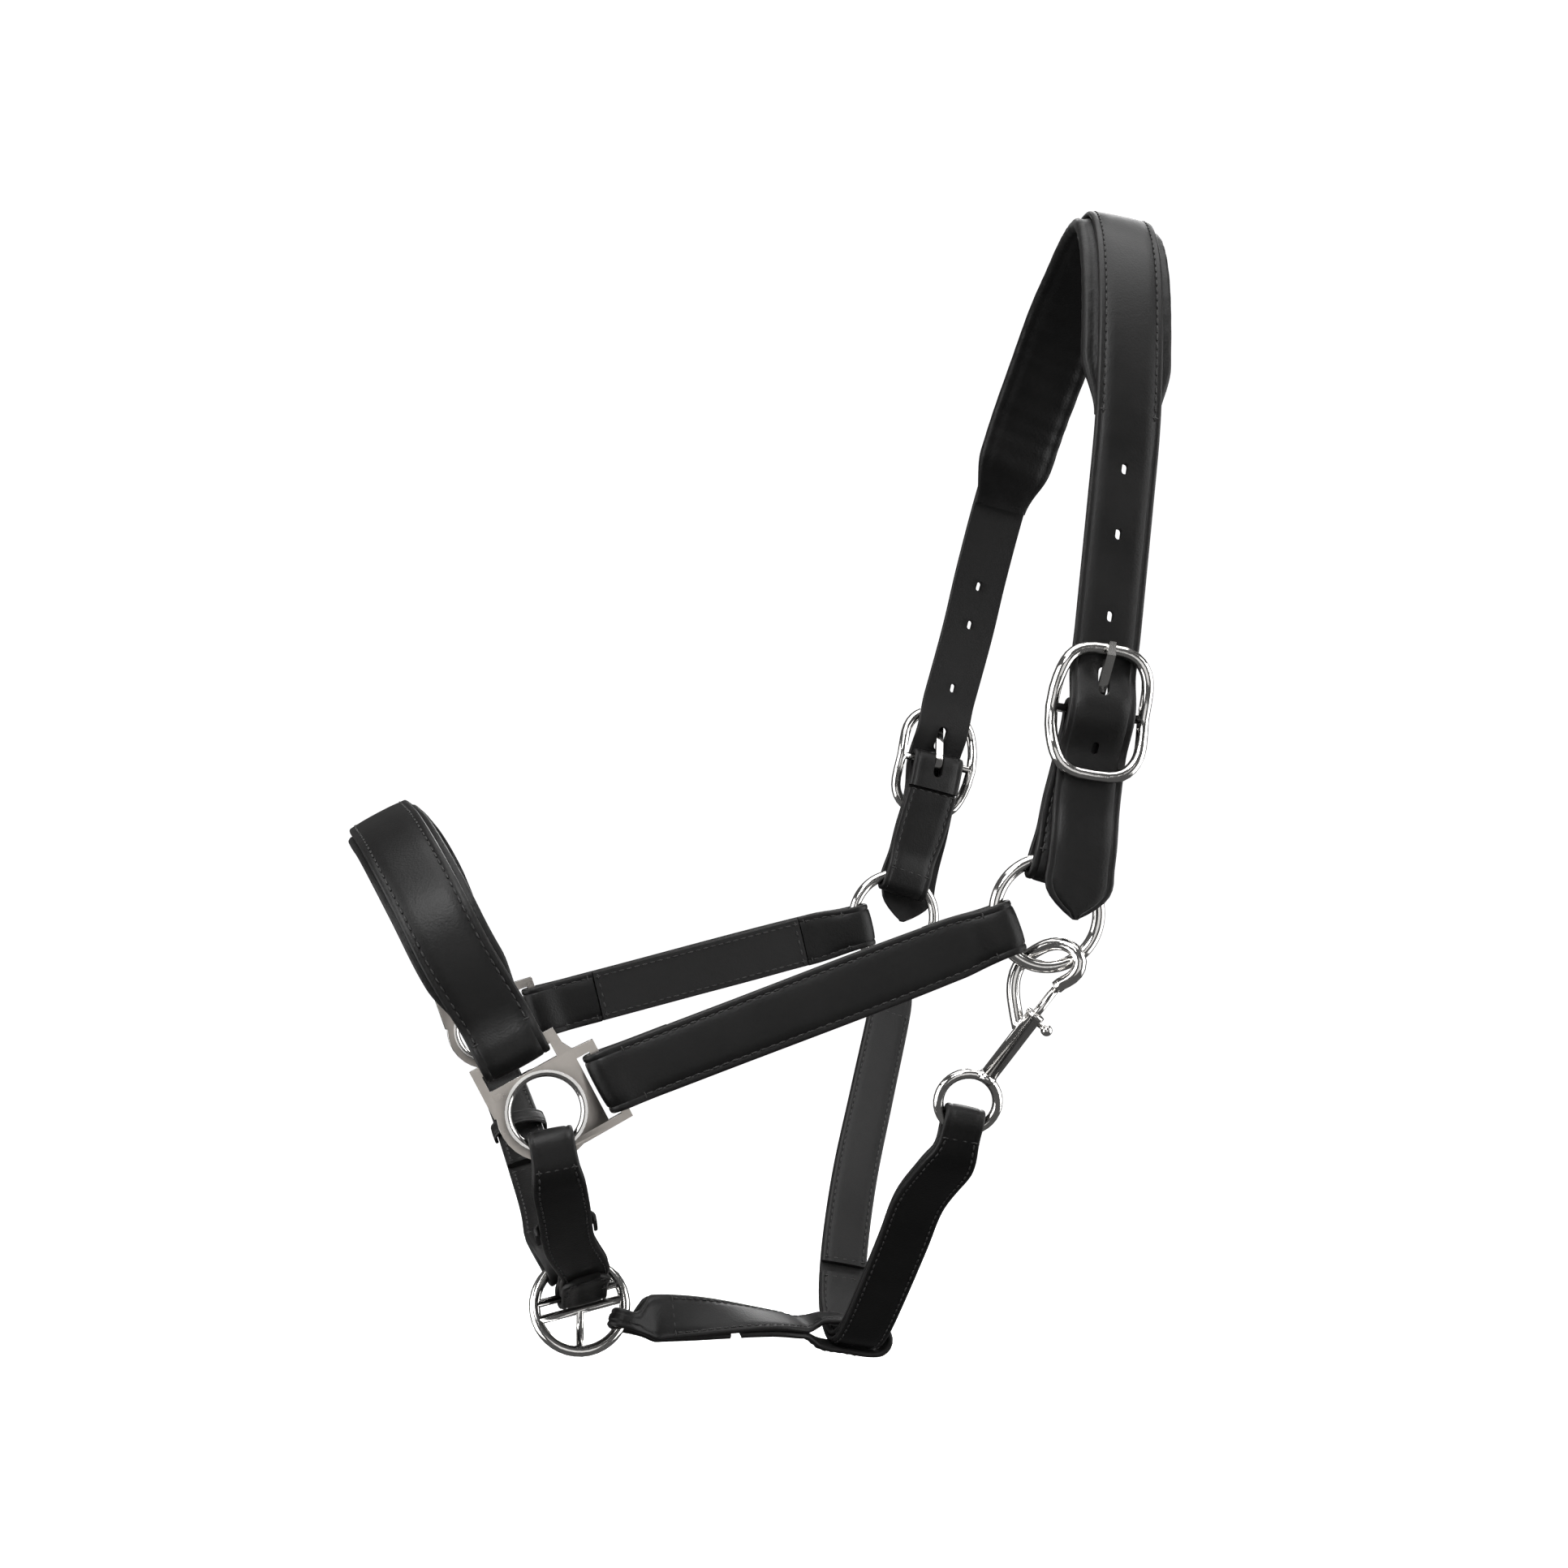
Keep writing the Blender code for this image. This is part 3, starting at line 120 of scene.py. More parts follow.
def rim(surface, thickness):
    """Pairs of points across the leather's thickness all the way round the strap's rim:
    down one cut edge and back up the other."""
    found = []
    seen = set()
    for start in surface.edges:
        if start in seen or not 0.8 * thickness < start.calc_length() < 1.3 * thickness:
            continue
        band, walked, closed = walk_rim(start, start.link_faces[0], thickness)
        if not closed:
            back, walked_back, _ = walk_rim(start, start.link_faces[1], thickness)
            band = back[:0:-1] + band
            walked |= walked_back
        found.append((len(band), len(found), band, closed))
        seen |= walked if len(band) > 8 else set()
    found.sort(reverse=True)
    _, _, band, closed = found[0]
    if closed:
        return band
    mate = next(item[2] for item in found[1:] if (item[2][0][0] - band[0][0]).length > 0.004)
    total = {turned: sum((a[0] - b[0]).length for a, b in zip(band, mate[::turned]))
             for turned in (1, -1)}
    mate = mate[::min(total, key=total.get)][:len(band)]
    facing = (band[9][0] - band[9][1]).dot(mate[9][0] - mate[9][1])
    mate = mate if facing > 0 else [(low, top) for top, low in mate]
    return band[:len(mate)] + mate[::-1]


def rows_of(band):
    """The strap's stations from its rim: middle, half the way across, and the grain
    side's direction, one row of nine numbers each."""
    middles = [(top + low) / 2 for top, low in band]
    count = len(band)

    def total(turn):
        return sum((middles[k] - middles[(turn - k) % count]).length for k in range(count))

    turn = min(range(1, count, 2), key=total)
    start = (turn - 1) // 2
    rows = []
    for k in range(count // 2):
        left, right = band[(start - k) % count], band[(start + 1 + k) % count]
        one, two = (left[0] + left[1]) / 2, (right[0] + right[1]) / 2
        grain = (left[0] - left[1] + right[0] - right[1]).normalized()
        rows.append([*(one + two) / 2, *(two - one) / 2, *grain])
    rows = np.array(rows)
    bend = rows[:-2, :3] - 2 * rows[1:-1, :3] + rows[2:, :3]
    if np.sum(bend * rows[1:-1, 6:]) > 0:
        rows[:, 6:] *= -1
    return rows


def travelled(rows):
    steps = np.linalg.norm(np.diff(rows[:, :3], axis=0), axis=1)
    return np.concatenate([[0.0], np.cumsum(steps)])


def smoothed(rows, spacing):
    """The same stations, closer together, on a smooth curve through them."""
    at = travelled(rows)
    steps = np.diff(at)[:, None]
    slopes = np.diff(rows, axis=0) / steps
    inner = (slopes[:-1] * steps[1:] + slopes[1:] * steps[:-1]) / (steps[:-1] + steps[1:])
    slopes = np.vstack([slopes[:1], inner, slopes[-1:]])
    places = np.linspace(0, at[-1], max(3, round(at[-1] / spacing) + 1))
    index = np.clip(np.searchsorted(at, places) - 1, 0, len(at) - 2)
    span = (at[index + 1] - at[index])[:, None]
    t = ((places - at[index])[:, None]) / span
    result = ((2 * t ** 3 - 3 * t ** 2 + 1) * rows[index]
              + (t ** 3 - 2 * t ** 2 + t) * span * slopes[index]
              + (3 * t ** 2 - 2 * t ** 3) * rows[index + 1]
              + (t ** 3 - t ** 2) * span * slopes[index + 1])
    result[:, 6:] /= np.linalg.norm(result[:, 6:], axis=1)[:, None]
    return result


def strap_section(half, thickness, inset, crown):
    """(across, height, rim share, flesh share) round the strap: rounded edges, a shallow
    channel under each stitch line and a crowned middle on the grain side."""
    thick = thickness / 2
    # Rim share is how much of the leather's lighter edge colour a corner takes, wear plus a painted sheen; the
    # stitch channels take a little of it.
    outer = [(0.0, 0.0, 1.0), (0.00012, 0.55, 1.0), (0.00045, 0.88, 0.9), (0.0010, 1.0, 0.55)]
    side = [(half - d, thick * h, rim, 0.0) for d, h, rim in outer]
    side.append((half - inset + 0.0006, thick + 0.00005, 0.25, 0.0))
    side.append((half - inset, thick - 0.00022, 0.30, 0.0))
    side.append((half - inset - 0.0007, thick + crown * 0.35, 0.10, 0.0))
    side.append(((half - inset) * 0.60, thick + crown * 0.80, 0.0, 0.0))
    side.append(((half - inset) * 0.25, thick + crown, 0.0, 0.0))
    top = side + [(-x, y, rim, flesh) for x, y, rim, flesh in reversed(side)]
    flesh_side = [(-half + 0.00012, -thick * 0.55, 1.0, 0.0), (-half + 0.0006, -thick, 0.6, 0.6),
                  (-half * 0.5, -thick, 0.0, 1.0), (half * 0.5, -thick, 0.0, 1.0),
                  (half - 0.0006, -thick, 0.6, 0.6), (half - 0.00012, -thick * 0.55, 1.0, 0.0)]
    return top + flesh_side


def strap_piece(name, rows, thickness, inset, crown, material, spacing=0.0018):
    """A strap lofted through its stations."""
    fine = smoothed(rows, spacing)
    strap = bmesh.new()
    rim_layer = strap.verts.layers.float.new("rim")
    flesh_layer = strap.verts.layers.float.new("flesh")
    loops = []
    for station in fine:
        middle, across, grain = Vector(station[:3]), Vector(station[3:6]), Vector(station[6:])
        half = across.length
        across = across.normalized()
        grain = (grain - across * grain.dot(across)).normalized()
        loop = []
        for x, y, rim, flesh in strap_section(half, thickness, min(inset, half * 0.6), crown):
            corner = strap.verts.new(middle + across * x + grain * y)
            corner[rim_layer] = rim
            corner[flesh_layer] = flesh
            loop.append(corner)
        loops.append(loop)
    around = len(loops[0])
    for one, two in zip(loops, loops[1:]):
        for k in range(around):
            j = (k + 1) % around
            strap.faces.new((one[k], one[j], two[j], two[k]))
    strap.faces.new(loops[0])
    strap.faces.new(list(reversed(loops[-1])))
    bmesh.ops.recalc_face_normals(strap, faces=strap.faces)
    mesh = bpy.data.meshes.new(name)
    strap.to_mesh(mesh)
    strap.free()
    mesh.shade_smooth()
    mesh.set_sharp_from_angle(angle=math.radians(50))
    mesh.materials.append(material)
    piece = bpy.data.objects.new(name, mesh)
    bpy.context.scene.collection.objects.link(piece)
    return piece


def plain_mesh(piece):
    """Replace a piece's mesh by what its modifiers make of it."""
    bpy.context.view_layer.update()
    graph = bpy.context.evaluated_depsgraph_get()
    made = bpy.data.meshes.new_from_object(piece.evaluated_get(graph))
    piece.modifiers.clear()
    piece.data = made
    made.name = piece.name
    return piece


def inner_corners(surface, band):
    """The node's corners away from the strap's rim, which are those of its holes."""
    edge_points = np.array([point for pair in band for point in pair])
    return [v.co.copy() for v in surface.verts
            if np.min(np.linalg.norm(edge_points - np.array(v.co), axis=1)) > 0.00002]


def punch(piece, inner):
    """Cut a strap's oval holes right through, from their corners, gathered hole by hole."""
    holes = []
    while inner:
        hole = [inner.pop()]
        for known in hole:
            close = [point for point in inner if (point - known).length < HOLE_REACH]
            inner = [point for point in inner if (point - known).length >= HOLE_REACH]
            hole.extend(close)
        holes.append(hole)
    for k, hole in enumerate(holes):
        side = "near" if hole[0].y < 0 else "far"
        out = Vector(joints[side + "_ring_spin"]["axis"]).normalized()
        across = Vector(joints[side + "_tongue_lift"]["axis"]).normalized()
        along = out.cross(across).normalized()
        reach = [(min(p.dot(axis) for p in hole), max(p.dot(axis) for p in hole))
                 for axis in (along, across, out)]
        centre = sum((axis * (low + high) / 2
                      for axis, (low, high) in zip((along, across, out), reach)), Vector())
        half_long, half_wide = ((high - low) / 2 for low, high in reach[:2])
        outline = []
        for turn in range(HOLE_STEPS):
            angle = math.tau * turn / HOLE_STEPS
            c, s = math.cos(angle), math.sin(angle)
            outline.append(along * (half_wide * c + math.copysign(half_long - half_wide, c))
                           + across * half_wide * s)
        cutter = bmesh.new()
        high = [cutter.verts.new(centre + point + out * 0.008) for point in outline]
        deep = [cutter.verts.new(centre + point - out * 0.008) for point in outline]
        cutter.faces.new(high)
        cutter.faces.new(list(reversed(deep)))
        for i in range(HOLE_STEPS):
            j = (i + 1) % HOLE_STEPS
            cutter.faces.new((high[i], deep[i], deep[j], high[j]))
        bmesh.ops.recalc_face_normals(cutter, faces=cutter.faces)
        mesh = bpy.data.meshes.new(f"punch_{k}")
        cutter.to_mesh(mesh)
        cutter.free()
        tool = bpy.data.objects.new(f"punch_{k}", mesh)
        bpy.context.scene.collection.objects.link(tool)
        cut = piece.modifiers.new(f"punch_{k}", "BOOLEAN")
        cut.operation = "DIFFERENCE"
        cut.solver = "EXACT"
        cut.object = tool
        plain_mesh(piece)
        bpy.data.objects.remove(tool)
    piece.data.shade_smooth()
    piece.data.set_sharp_from_angle(angle=math.radians(40))


def add_node(tree, kind, **settings):
    node = tree.nodes.new(kind)
    for key, value in settings.items():
        setattr(node, key, value)
    return node


def leather(name, dark, light, rough, grain_size, grain_depth, crease_depth):
    """Dyed leather: fine pores, soft creases, edges lightened as wear plus a painted sheen, and a paler flesh
    side.
    """
    material = bpy.data.materials.new(name)
    material.use_nodes = True
    tree = material.node_tree
    link = tree.links.new
    shader = tree.nodes["Principled BSDF"]
    place = add_node(tree, "ShaderNodeTexCoord")
    pores = add_node(tree, "ShaderNodeTexVoronoi", feature="SMOOTH_F1")
    pores.inputs["Scale"].default_value = 1 / grain_size
    pores.inputs["Smoothness"].default_value = 0.6
    tone = add_node(tree, "ShaderNodeTexNoise")
    tone.inputs["Scale"].default_value = 55
    tone.inputs["Detail"].default_value = 6
    crease = add_node(tree, "ShaderNodeTexNoise")
    crease.inputs["Scale"].default_value = 260
    crease.inputs["Detail"].default_value = 4
    for texture in (pores, tone, crease):
        link(place.outputs["Object"], texture.inputs["Vector"])
    shade = add_node(tree, "ShaderNodeValToRGB")
    shade.color_ramp.elements[0].position = 0.32
    shade.color_ramp.elements[0].color = (*dark, 1)
    shade.color_ramp.elements[1].position = 0.72
    shade.color_ramp.elements[1].color = (*light, 1)
    link(tone.outputs["Fac"], shade.inputs["Fac"])
    rim = add_node(tree, "ShaderNodeAttribute", attribute_name="rim")
    flesh = add_node(tree, "ShaderNodeAttribute", attribute_name="flesh")
    # Rims turn a lighter grey in patches: partly edge wear, partly a painted sheen where light would catch the
    # edges.
    edge_wear_and_sheen = add_node(tree, "ShaderNodeMath", operation="MULTIPLY")
    link(rim.outputs["Fac"], edge_wear_and_sheen.inputs[0])
    link(crease.outputs["Fac"], edge_wear_and_sheen.inputs[1])
    edged = add_node(tree, "ShaderNodeMix", data_type="RGBA")
    link(edge_wear_and_sheen.outputs["Value"], edged.inputs["Factor"])
    link(shade.outputs["Color"], edged.inputs["A"])
    edged.inputs["B"].default_value = (0.022, 0.021, 0.021, 1)
    backed = add_node(tree, "ShaderNodeMix", data_type="RGBA")
    link(flesh.outputs["Fac"], backed.inputs["Factor"])
    link(edged.outputs["Result"], backed.inputs["A"])
    backed.inputs["B"].default_value = (0.013, 0.0127, 0.0127, 1)
    link(backed.outputs["Result"], shader.inputs["Base Color"])
    gloss = add_node(tree, "ShaderNodeMapRange")
    gloss.inputs["To Min"].default_value = rough - 0.07
    gloss.inputs["To Max"].default_value = rough + 0.10
    link(tone.outputs["Fac"], gloss.inputs["Value"])
    dull = add_node(tree, "ShaderNodeMath", operation="MULTIPLY_ADD")
    dull.inputs[1].default_value = 0.25
    link(flesh.outputs["Fac"], dull.inputs[0])
    link(gloss.outputs["Result"], dull.inputs[2])
    link(dull.outputs["Value"], shader.inputs["Roughness"])
    fine = add_node(tree, "ShaderNodeBump")
    fine.inputs["Strength"].default_value = 0.7
    fine.inputs["Distance"].default_value = grain_depth
    link(pores.outputs["Distance"], fine.inputs["Height"])
    broad = add_node(tree, "ShaderNodeBump")
    broad.inputs["Strength"].default_value = 0.6
    broad.inputs["Distance"].default_value = crease_depth
    link(crease.outputs["Fac"], broad.inputs["Height"])
    link(fine.outputs["Normal"], broad.inputs["Normal"])
    link(broad.outputs["Normal"], shader.inputs["Normal"])
    shader.inputs["Specular IOR Level"].default_value = 0.32
    return material


def thread_material():
    """Waxed black thread, a little paler and duller than the leather."""
    material = bpy.data.materials.new("waxed_thread")
    material.use_nodes = True
    tree = material.node_tree
    shader = tree.nodes["Principled BSDF"]
    place = add_node(tree, "ShaderNodeTexCoord")
    twist = add_node(tree, "ShaderNodeTexWave", bands_direction="DIAGONAL")
    twist.inputs["Scale"].default_value = 700
    tree.links.new(place.outputs["Object"], twist.inputs["Vector"])
    shade = add_node(tree, "ShaderNodeValToRGB")
    shade.color_ramp.elements[0].color = (0.012, 0.012, 0.012, 1)
    shade.color_ramp.elements[1].color = (0.042, 0.041, 0.040, 1)
    tree.links.new(twist.outputs["Fac"], shade.inputs["Fac"])
    tree.links.new(shade.outputs["Color"], shader.inputs["Base Color"])
    bump = add_node(tree, "ShaderNodeBump")
    bump.inputs["Strength"].default_value = 0.6
    bump.inputs["Distance"].default_value = 0.0001
    tree.links.new(twist.outputs["Fac"], bump.inputs["Height"])
    tree.links.new(bump.outputs["Normal"], shader.inputs["Normal"])
    shader.inputs["Roughness"].default_value = 0.55
    return material


def sewing_tree():
    """Geometry Nodes: one plump stitch at every pitch along each seam line."""
    tree = bpy.data.node_groups.new("sewing", "GeometryNodeTree")
    socket = tree.interface.new_socket
    socket("Seams", in_out="INPUT", socket_type="NodeSocketGeometry")
    for title, value in (("Pitch", STITCH), ("Stitch length", 0.0029), ("Thread", 0.00038)):
        socket(title, in_out="INPUT", socket_type="NodeSocketFloat").default_value = value
    socket("Material", in_out="INPUT", socket_type="NodeSocketMaterial")
    socket("Stitches", in_out="OUTPUT", socket_type="NodeSocketGeometry")
    link = tree.links.new
    given = add_node(tree, "NodeGroupInput")
    line = add_node(tree, "GeometryNodeMeshToCurve")
    link(given.outputs["Seams"], line.inputs["Mesh"])
    spaced = add_node(tree, "GeometryNodeResampleCurve", mode="LENGTH")
    link(line.outputs["Curve"], spaced.inputs["Curve"])
    link(given.outputs["Pitch"], spaced.inputs["Length"])
    bead = add_node(tree, "GeometryNodeMeshUVSphere")
    bead.inputs["Segments"].default_value = 7
    bead.inputs["Rings"].default_value = 5
    bead.inputs["Radius"].default_value = 1.0
    half = add_node(tree, "ShaderNodeMath", operation="MULTIPLY")
    half.inputs[1].default_value = 0.5
    link(given.outputs["Stitch length"], half.inputs[0])
    size = add_node(tree, "ShaderNodeCombineXYZ")
    link(half.outputs["Value"], size.inputs["X"])
    link(given.outputs["Thread"], size.inputs["Y"])
    link(given.outputs["Thread"], size.inputs["Z"])
    shaped = add_node(tree, "GeometryNodeTransform")
    link(bead.outputs["Mesh"], shaped.inputs["Geometry"])
    link(size.outputs["Vector"], shaped.inputs["Scale"])
    outward = add_node(tree, "GeometryNodeInputNamedAttribute", data_type="FLOAT_VECTOR")
    outward.inputs["Name"].default_value = "outward"
    along = add_node(tree, "GeometryNodeInputTangent")
    turn = add_node(tree, "FunctionNodeAxesToRotation", primary_axis="X", secondary_axis="Z")
    link(along.outputs["Tangent"], turn.inputs["Primary Axis"])
    link(outward.outputs["Attribute"], turn.inputs["Secondary Axis"])
    placed = add_node(tree, "GeometryNodeInstanceOnPoints")
    link(spaced.outputs["Curve"], placed.inputs["Points"])
    link(shaped.outputs["Geometry"], placed.inputs["Instance"])
    link(turn.outputs["Rotation"], placed.inputs["Rotation"])
    real = add_node(tree, "GeometryNodeRealizeInstances")
    link(placed.outputs["Instances"], real.inputs["Geometry"])
    soft = add_node(tree, "GeometryNodeSetShadeSmooth")
    link(real.outputs["Geometry"], soft.inputs["Geometry"])
    dyed = add_node(tree, "GeometryNodeSetMaterial")
    link(soft.outputs["Geometry"], dyed.inputs["Geometry"])
    link(given.outputs["Material"], dyed.inputs["Material"])
    ends = add_node(tree, "NodeGroupOutput")
    link(dyed.outputs["Geometry"], ends.inputs["Stitches"])
    return tree


def seam_line(fine, at, first, last, share_in, lift):
    """Points and outward directions along the grain side between two distances;
    share_in is how far from the edge, negative for the other edge."""
    line = []
    for place, station in zip(at, fine):
        if first <= place <= last:
            across, grain = Vector(station[3:6]), Vector(station[6:])
            half = across.length
            x = math.copysign(half - abs(share_in), share_in)
            line.append((Vector(station[:3]) + across.normalized() * x + grain * lift, grain))
    return line


def cross_line(fine, at, place, inset, lift):
    """A seam across the strap at one distance."""
    station = fine[int(np.argmin(np.abs(at - place)))]
    across, grain = Vector(station[3:6]), Vector(station[6:])
    reach = across.length - inset
    middle, side = Vector(station[:3]), across.normalized()
    return [(middle + side * reach * x + grain * lift, grain) for x in (-1, -0.5, 0, 0.5, 1)]


def flat_runs(rows, tightest=0.007, margin=0.0065):
    """Stretches (first, last) of a strap away from its folds."""
    fine = smoothed(rows, 0.001)
    at = travelled(fine)
    ways = np.diff(fine[:, :3], axis=0)
    ways /= np.linalg.norm(ways, axis=1)[:, None]
    turning = np.linalg.norm(np.diff(ways, axis=0), axis=1) / 0.001
    tight = [at[k + 1] for k, rate in enumerate(turning) if rate > 1 / tightest]
    runs = []
    start = 0.0
    for place in tight + [at[-1] + margin]:
        if place - margin - start > 0.008:
            runs.append((start if start else 0.0, place - margin))
        start = max(start, place + margin)
    return runs


def stitching(name, lines, body, pitch=STITCH):
    """Sew every line and join the result to one piece."""
    seams = bmesh.new()
    outward = seams.verts.layers.float_vector.new("outward")
    for line in lines:
        corners = []
        for point, grain in line:
            corner = seams.verts.new(point)
            corner[outward] = grain
            corners.append(corner)
        for one, two in zip(corners, corners[1:]):
            seams.edges.new((one, two))
    mesh = bpy.data.meshes.new(name)
    seams.to_mesh(mesh)
    seams.free()
    piece = bpy.data.objects.new(name, mesh)
    bpy.context.scene.collection.objects.link(piece)
    sewing_machine = piece.modifiers.new("sewing", "NODES")
    sewing_machine.node_group = sewing
    inputs = {item.name: item.identifier for item in sewing.interface.items_tree
              if item.in_out == "INPUT"}
    sewing_machine[inputs["Pitch"]] = pitch
    sewing_machine[inputs["Stitch length"]] = pitch * 0.84
    sewing_machine[inputs["Thread"]] = 0.00036
    sewing_machine[inputs["Material"]] = waxed_thread
    plain_mesh(piece)
    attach(piece, body)
    return piece


def stands_for(piece, *names):
    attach(piece, home[names[0]])
    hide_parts(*names)
    return piece


def sew_runs(name, node, rows, inset, runs, trim=0.0022, lift=LEATHER / 2, crosses=True,
             pitch=STITCH):
    """Two long seams on each run of a strap, closed by a seam across each end."""
    fine = smoothed(rows, 0.0018)
    at = travelled(fine)
    lines = []
    for first, last in runs:
        first, last = first + trim, last - trim
        if last - first < 0.006:
            continue
        for side in (inset, -inset):
            lines.append(seam_line(fine, at, first, last, side, lift))
        if crosses:
            lines.append(cross_line(fine, at, first, inset, lift))
            lines.append(cross_line(fine, at, last, inset, lift))
    return stitching(name, lines, home[node], pitch)


black_leather = leather("bridle_leather", (0.0030, 0.0029, 0.0029), (0.0070, 0.0067, 0.0066),
                        rough=0.42, grain_size=0.00075, grain_depth=0.00007,
                        crease_depth=0.00010)
waxed_thread = thread_material()
sewing = sewing_tree()

headpiece_surface = welded("headpiece_strap")
headpiece_rim = rim(headpiece_surface, LEATHER)
headpiece_rows = rows_of(headpiece_rim)
headpiece = strap_piece("headpiece_leather", headpiece_rows, LEATHER, SEAM_INSET, WIDE_CROWN,
                        black_leather, spacing=0.0024)
punch(headpiece, inner_corners(headpiece_surface, headpiece_rim))
stands_for(headpiece, "headpiece_strap")
pad_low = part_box("headpiece_pad")[0].z
crown_at = travelled(headpiece_rows)
crown = [place for place, row in zip(crown_at, headpiece_rows) if row[2] > pad_low + 0.001]
sew_runs("headpiece_stitching", "headpiece_strap", headpiece_rows, SEAM_INSET,
         [(crown[0], crown[-1])])


# ---- headpiece pad -----------------------------------------------------------------
# Soft black lining leather rolled over felt at both edges and sewn under the headpiece.
# It is fullest at the poll and thins to nothing at its two ends.
lining_leather = leather("lining_leather", (0.0034, 0.0033, 0.0033), (0.0085, 0.0082, 0.0082),
                         rough=0.47, grain_size=0.0010, grain_depth=0.00012,
                         crease_depth=0.00030)


def ease(t):
    t = np.clip(t, 0.0, 1.0)
    return t * t * (3 - 2 * t)


def pad_piece(name, rows, first, last, half_width, depth, fade_length, strap_half, material):
    """A rolled pad under a strap between two distances along it."""
    fine = smoothed(rows, 0.0020)
    at = travelled(fine)
    pad = bmesh.new()
    rim_layer = pad.verts.layers.float.new("rim")
    around = 40
    loops = []
    for place, station in zip(at, fine):
        if not first <= place <= last:
            continue
        fade = float(ease((min(place - first, last - place)) / fade_length))
        middle, across, grain = Vector(station[:3]), Vector(station[3:6]), Vector(station[6:])
        side = across.normalized()
        grain = (grain - side * grain.dot(side)).normalized()
        half_thick = 0.0011 + (depth / 2 - 0.0011) * fade
        half = strap_half + (half_width - strap_half) * fade
        centre = middle - grain * (LEATHER / 2 + 0.0002 + half_thick)
        loop = []
        for k in range(around):
            angle = math.tau * (k + 0.5) / around
            c, s = math.cos(angle), math.sin(angle)
            x = math.copysign(abs(c) ** 0.62, c)
            y = math.copysign(abs(s) ** (0.80 if s < 0 else 0.45), s)
            roll = math.exp(-((abs(x) - 0.80) / 0.060) ** 2) * fade
            wrinkle = math.sin(place * 620 + 1.3 * math.sin(place * 160) + 2.0 * x)
            wrinkle *= 0.00022 * fade * (0.4 + 0.6 * abs(x))
            y_out = half_thick * y * (1 - 0.30 * roll) + wrinkle * (-1 if s < 0 else 0.4)
            corner = pad.verts.new(centre + side * (half * x * (1 - 0.012 * roll)) + grain * y_out)
            # The rolled edges take some of the lighter edge colour: wear plus a painted sheen.
            corner[rim_layer] = 0.35 if abs(x) > 0.86 else 0.0
            loop.append(corner)
        loops.append(loop)
    for one, two in zip(loops, loops[1:]):
        for k in range(around):
            j = (k + 1) % around
            pad.faces.new((one[k], one[j], two[j], two[k]))
    pad.faces.new(loops[0])
    pad.faces.new(list(reversed(loops[-1])))
    bmesh.ops.recalc_face_normals(pad, faces=pad.faces)
    mesh = bpy.data.meshes.new(name)
    pad.to_mesh(mesh)
    pad.free()
    mesh.shade_smooth()
    mesh.set_sharp_from_angle(angle=math.radians(60))
    mesh.materials.append(material)
    piece = bpy.data.objects.new(name, mesh)
    bpy.context.scene.collection.objects.link(piece)
    return piece


crown_pad = pad_piece("headpiece_pad_leather", headpiece_rows, crown[0] + 0.001,
                      crown[-1] - 0.001, half_width=0.0170, depth=0.0075, fade_length=0.024,
                      strap_half=0.0120, material=lining_leather)
stands_for(crown_pad, "headpiece_pad")


# ---- chapes ------------------------------------------------------------------------
# Folded lengths of the same strap that hold the buckles and the cheek rings. The two
# layers are sewn together below the buckle with a seam across.
CHAPE_LAYER = 0.00125       # middle of a layer from the middle of the pair
STAND = 0.0034              # buckle plane outside the ring plane
BUCKLE_END_WIDTH = 0.0236   # of the chape at the buckle
RING_END_WIDTH = 0.0215     # of the chape at the ring
RING_RADIUS = 0.0190        # to the middle of the cheek ring's wire


def part_way(s, start, reach):
    return float(ease((s - start) / reach))


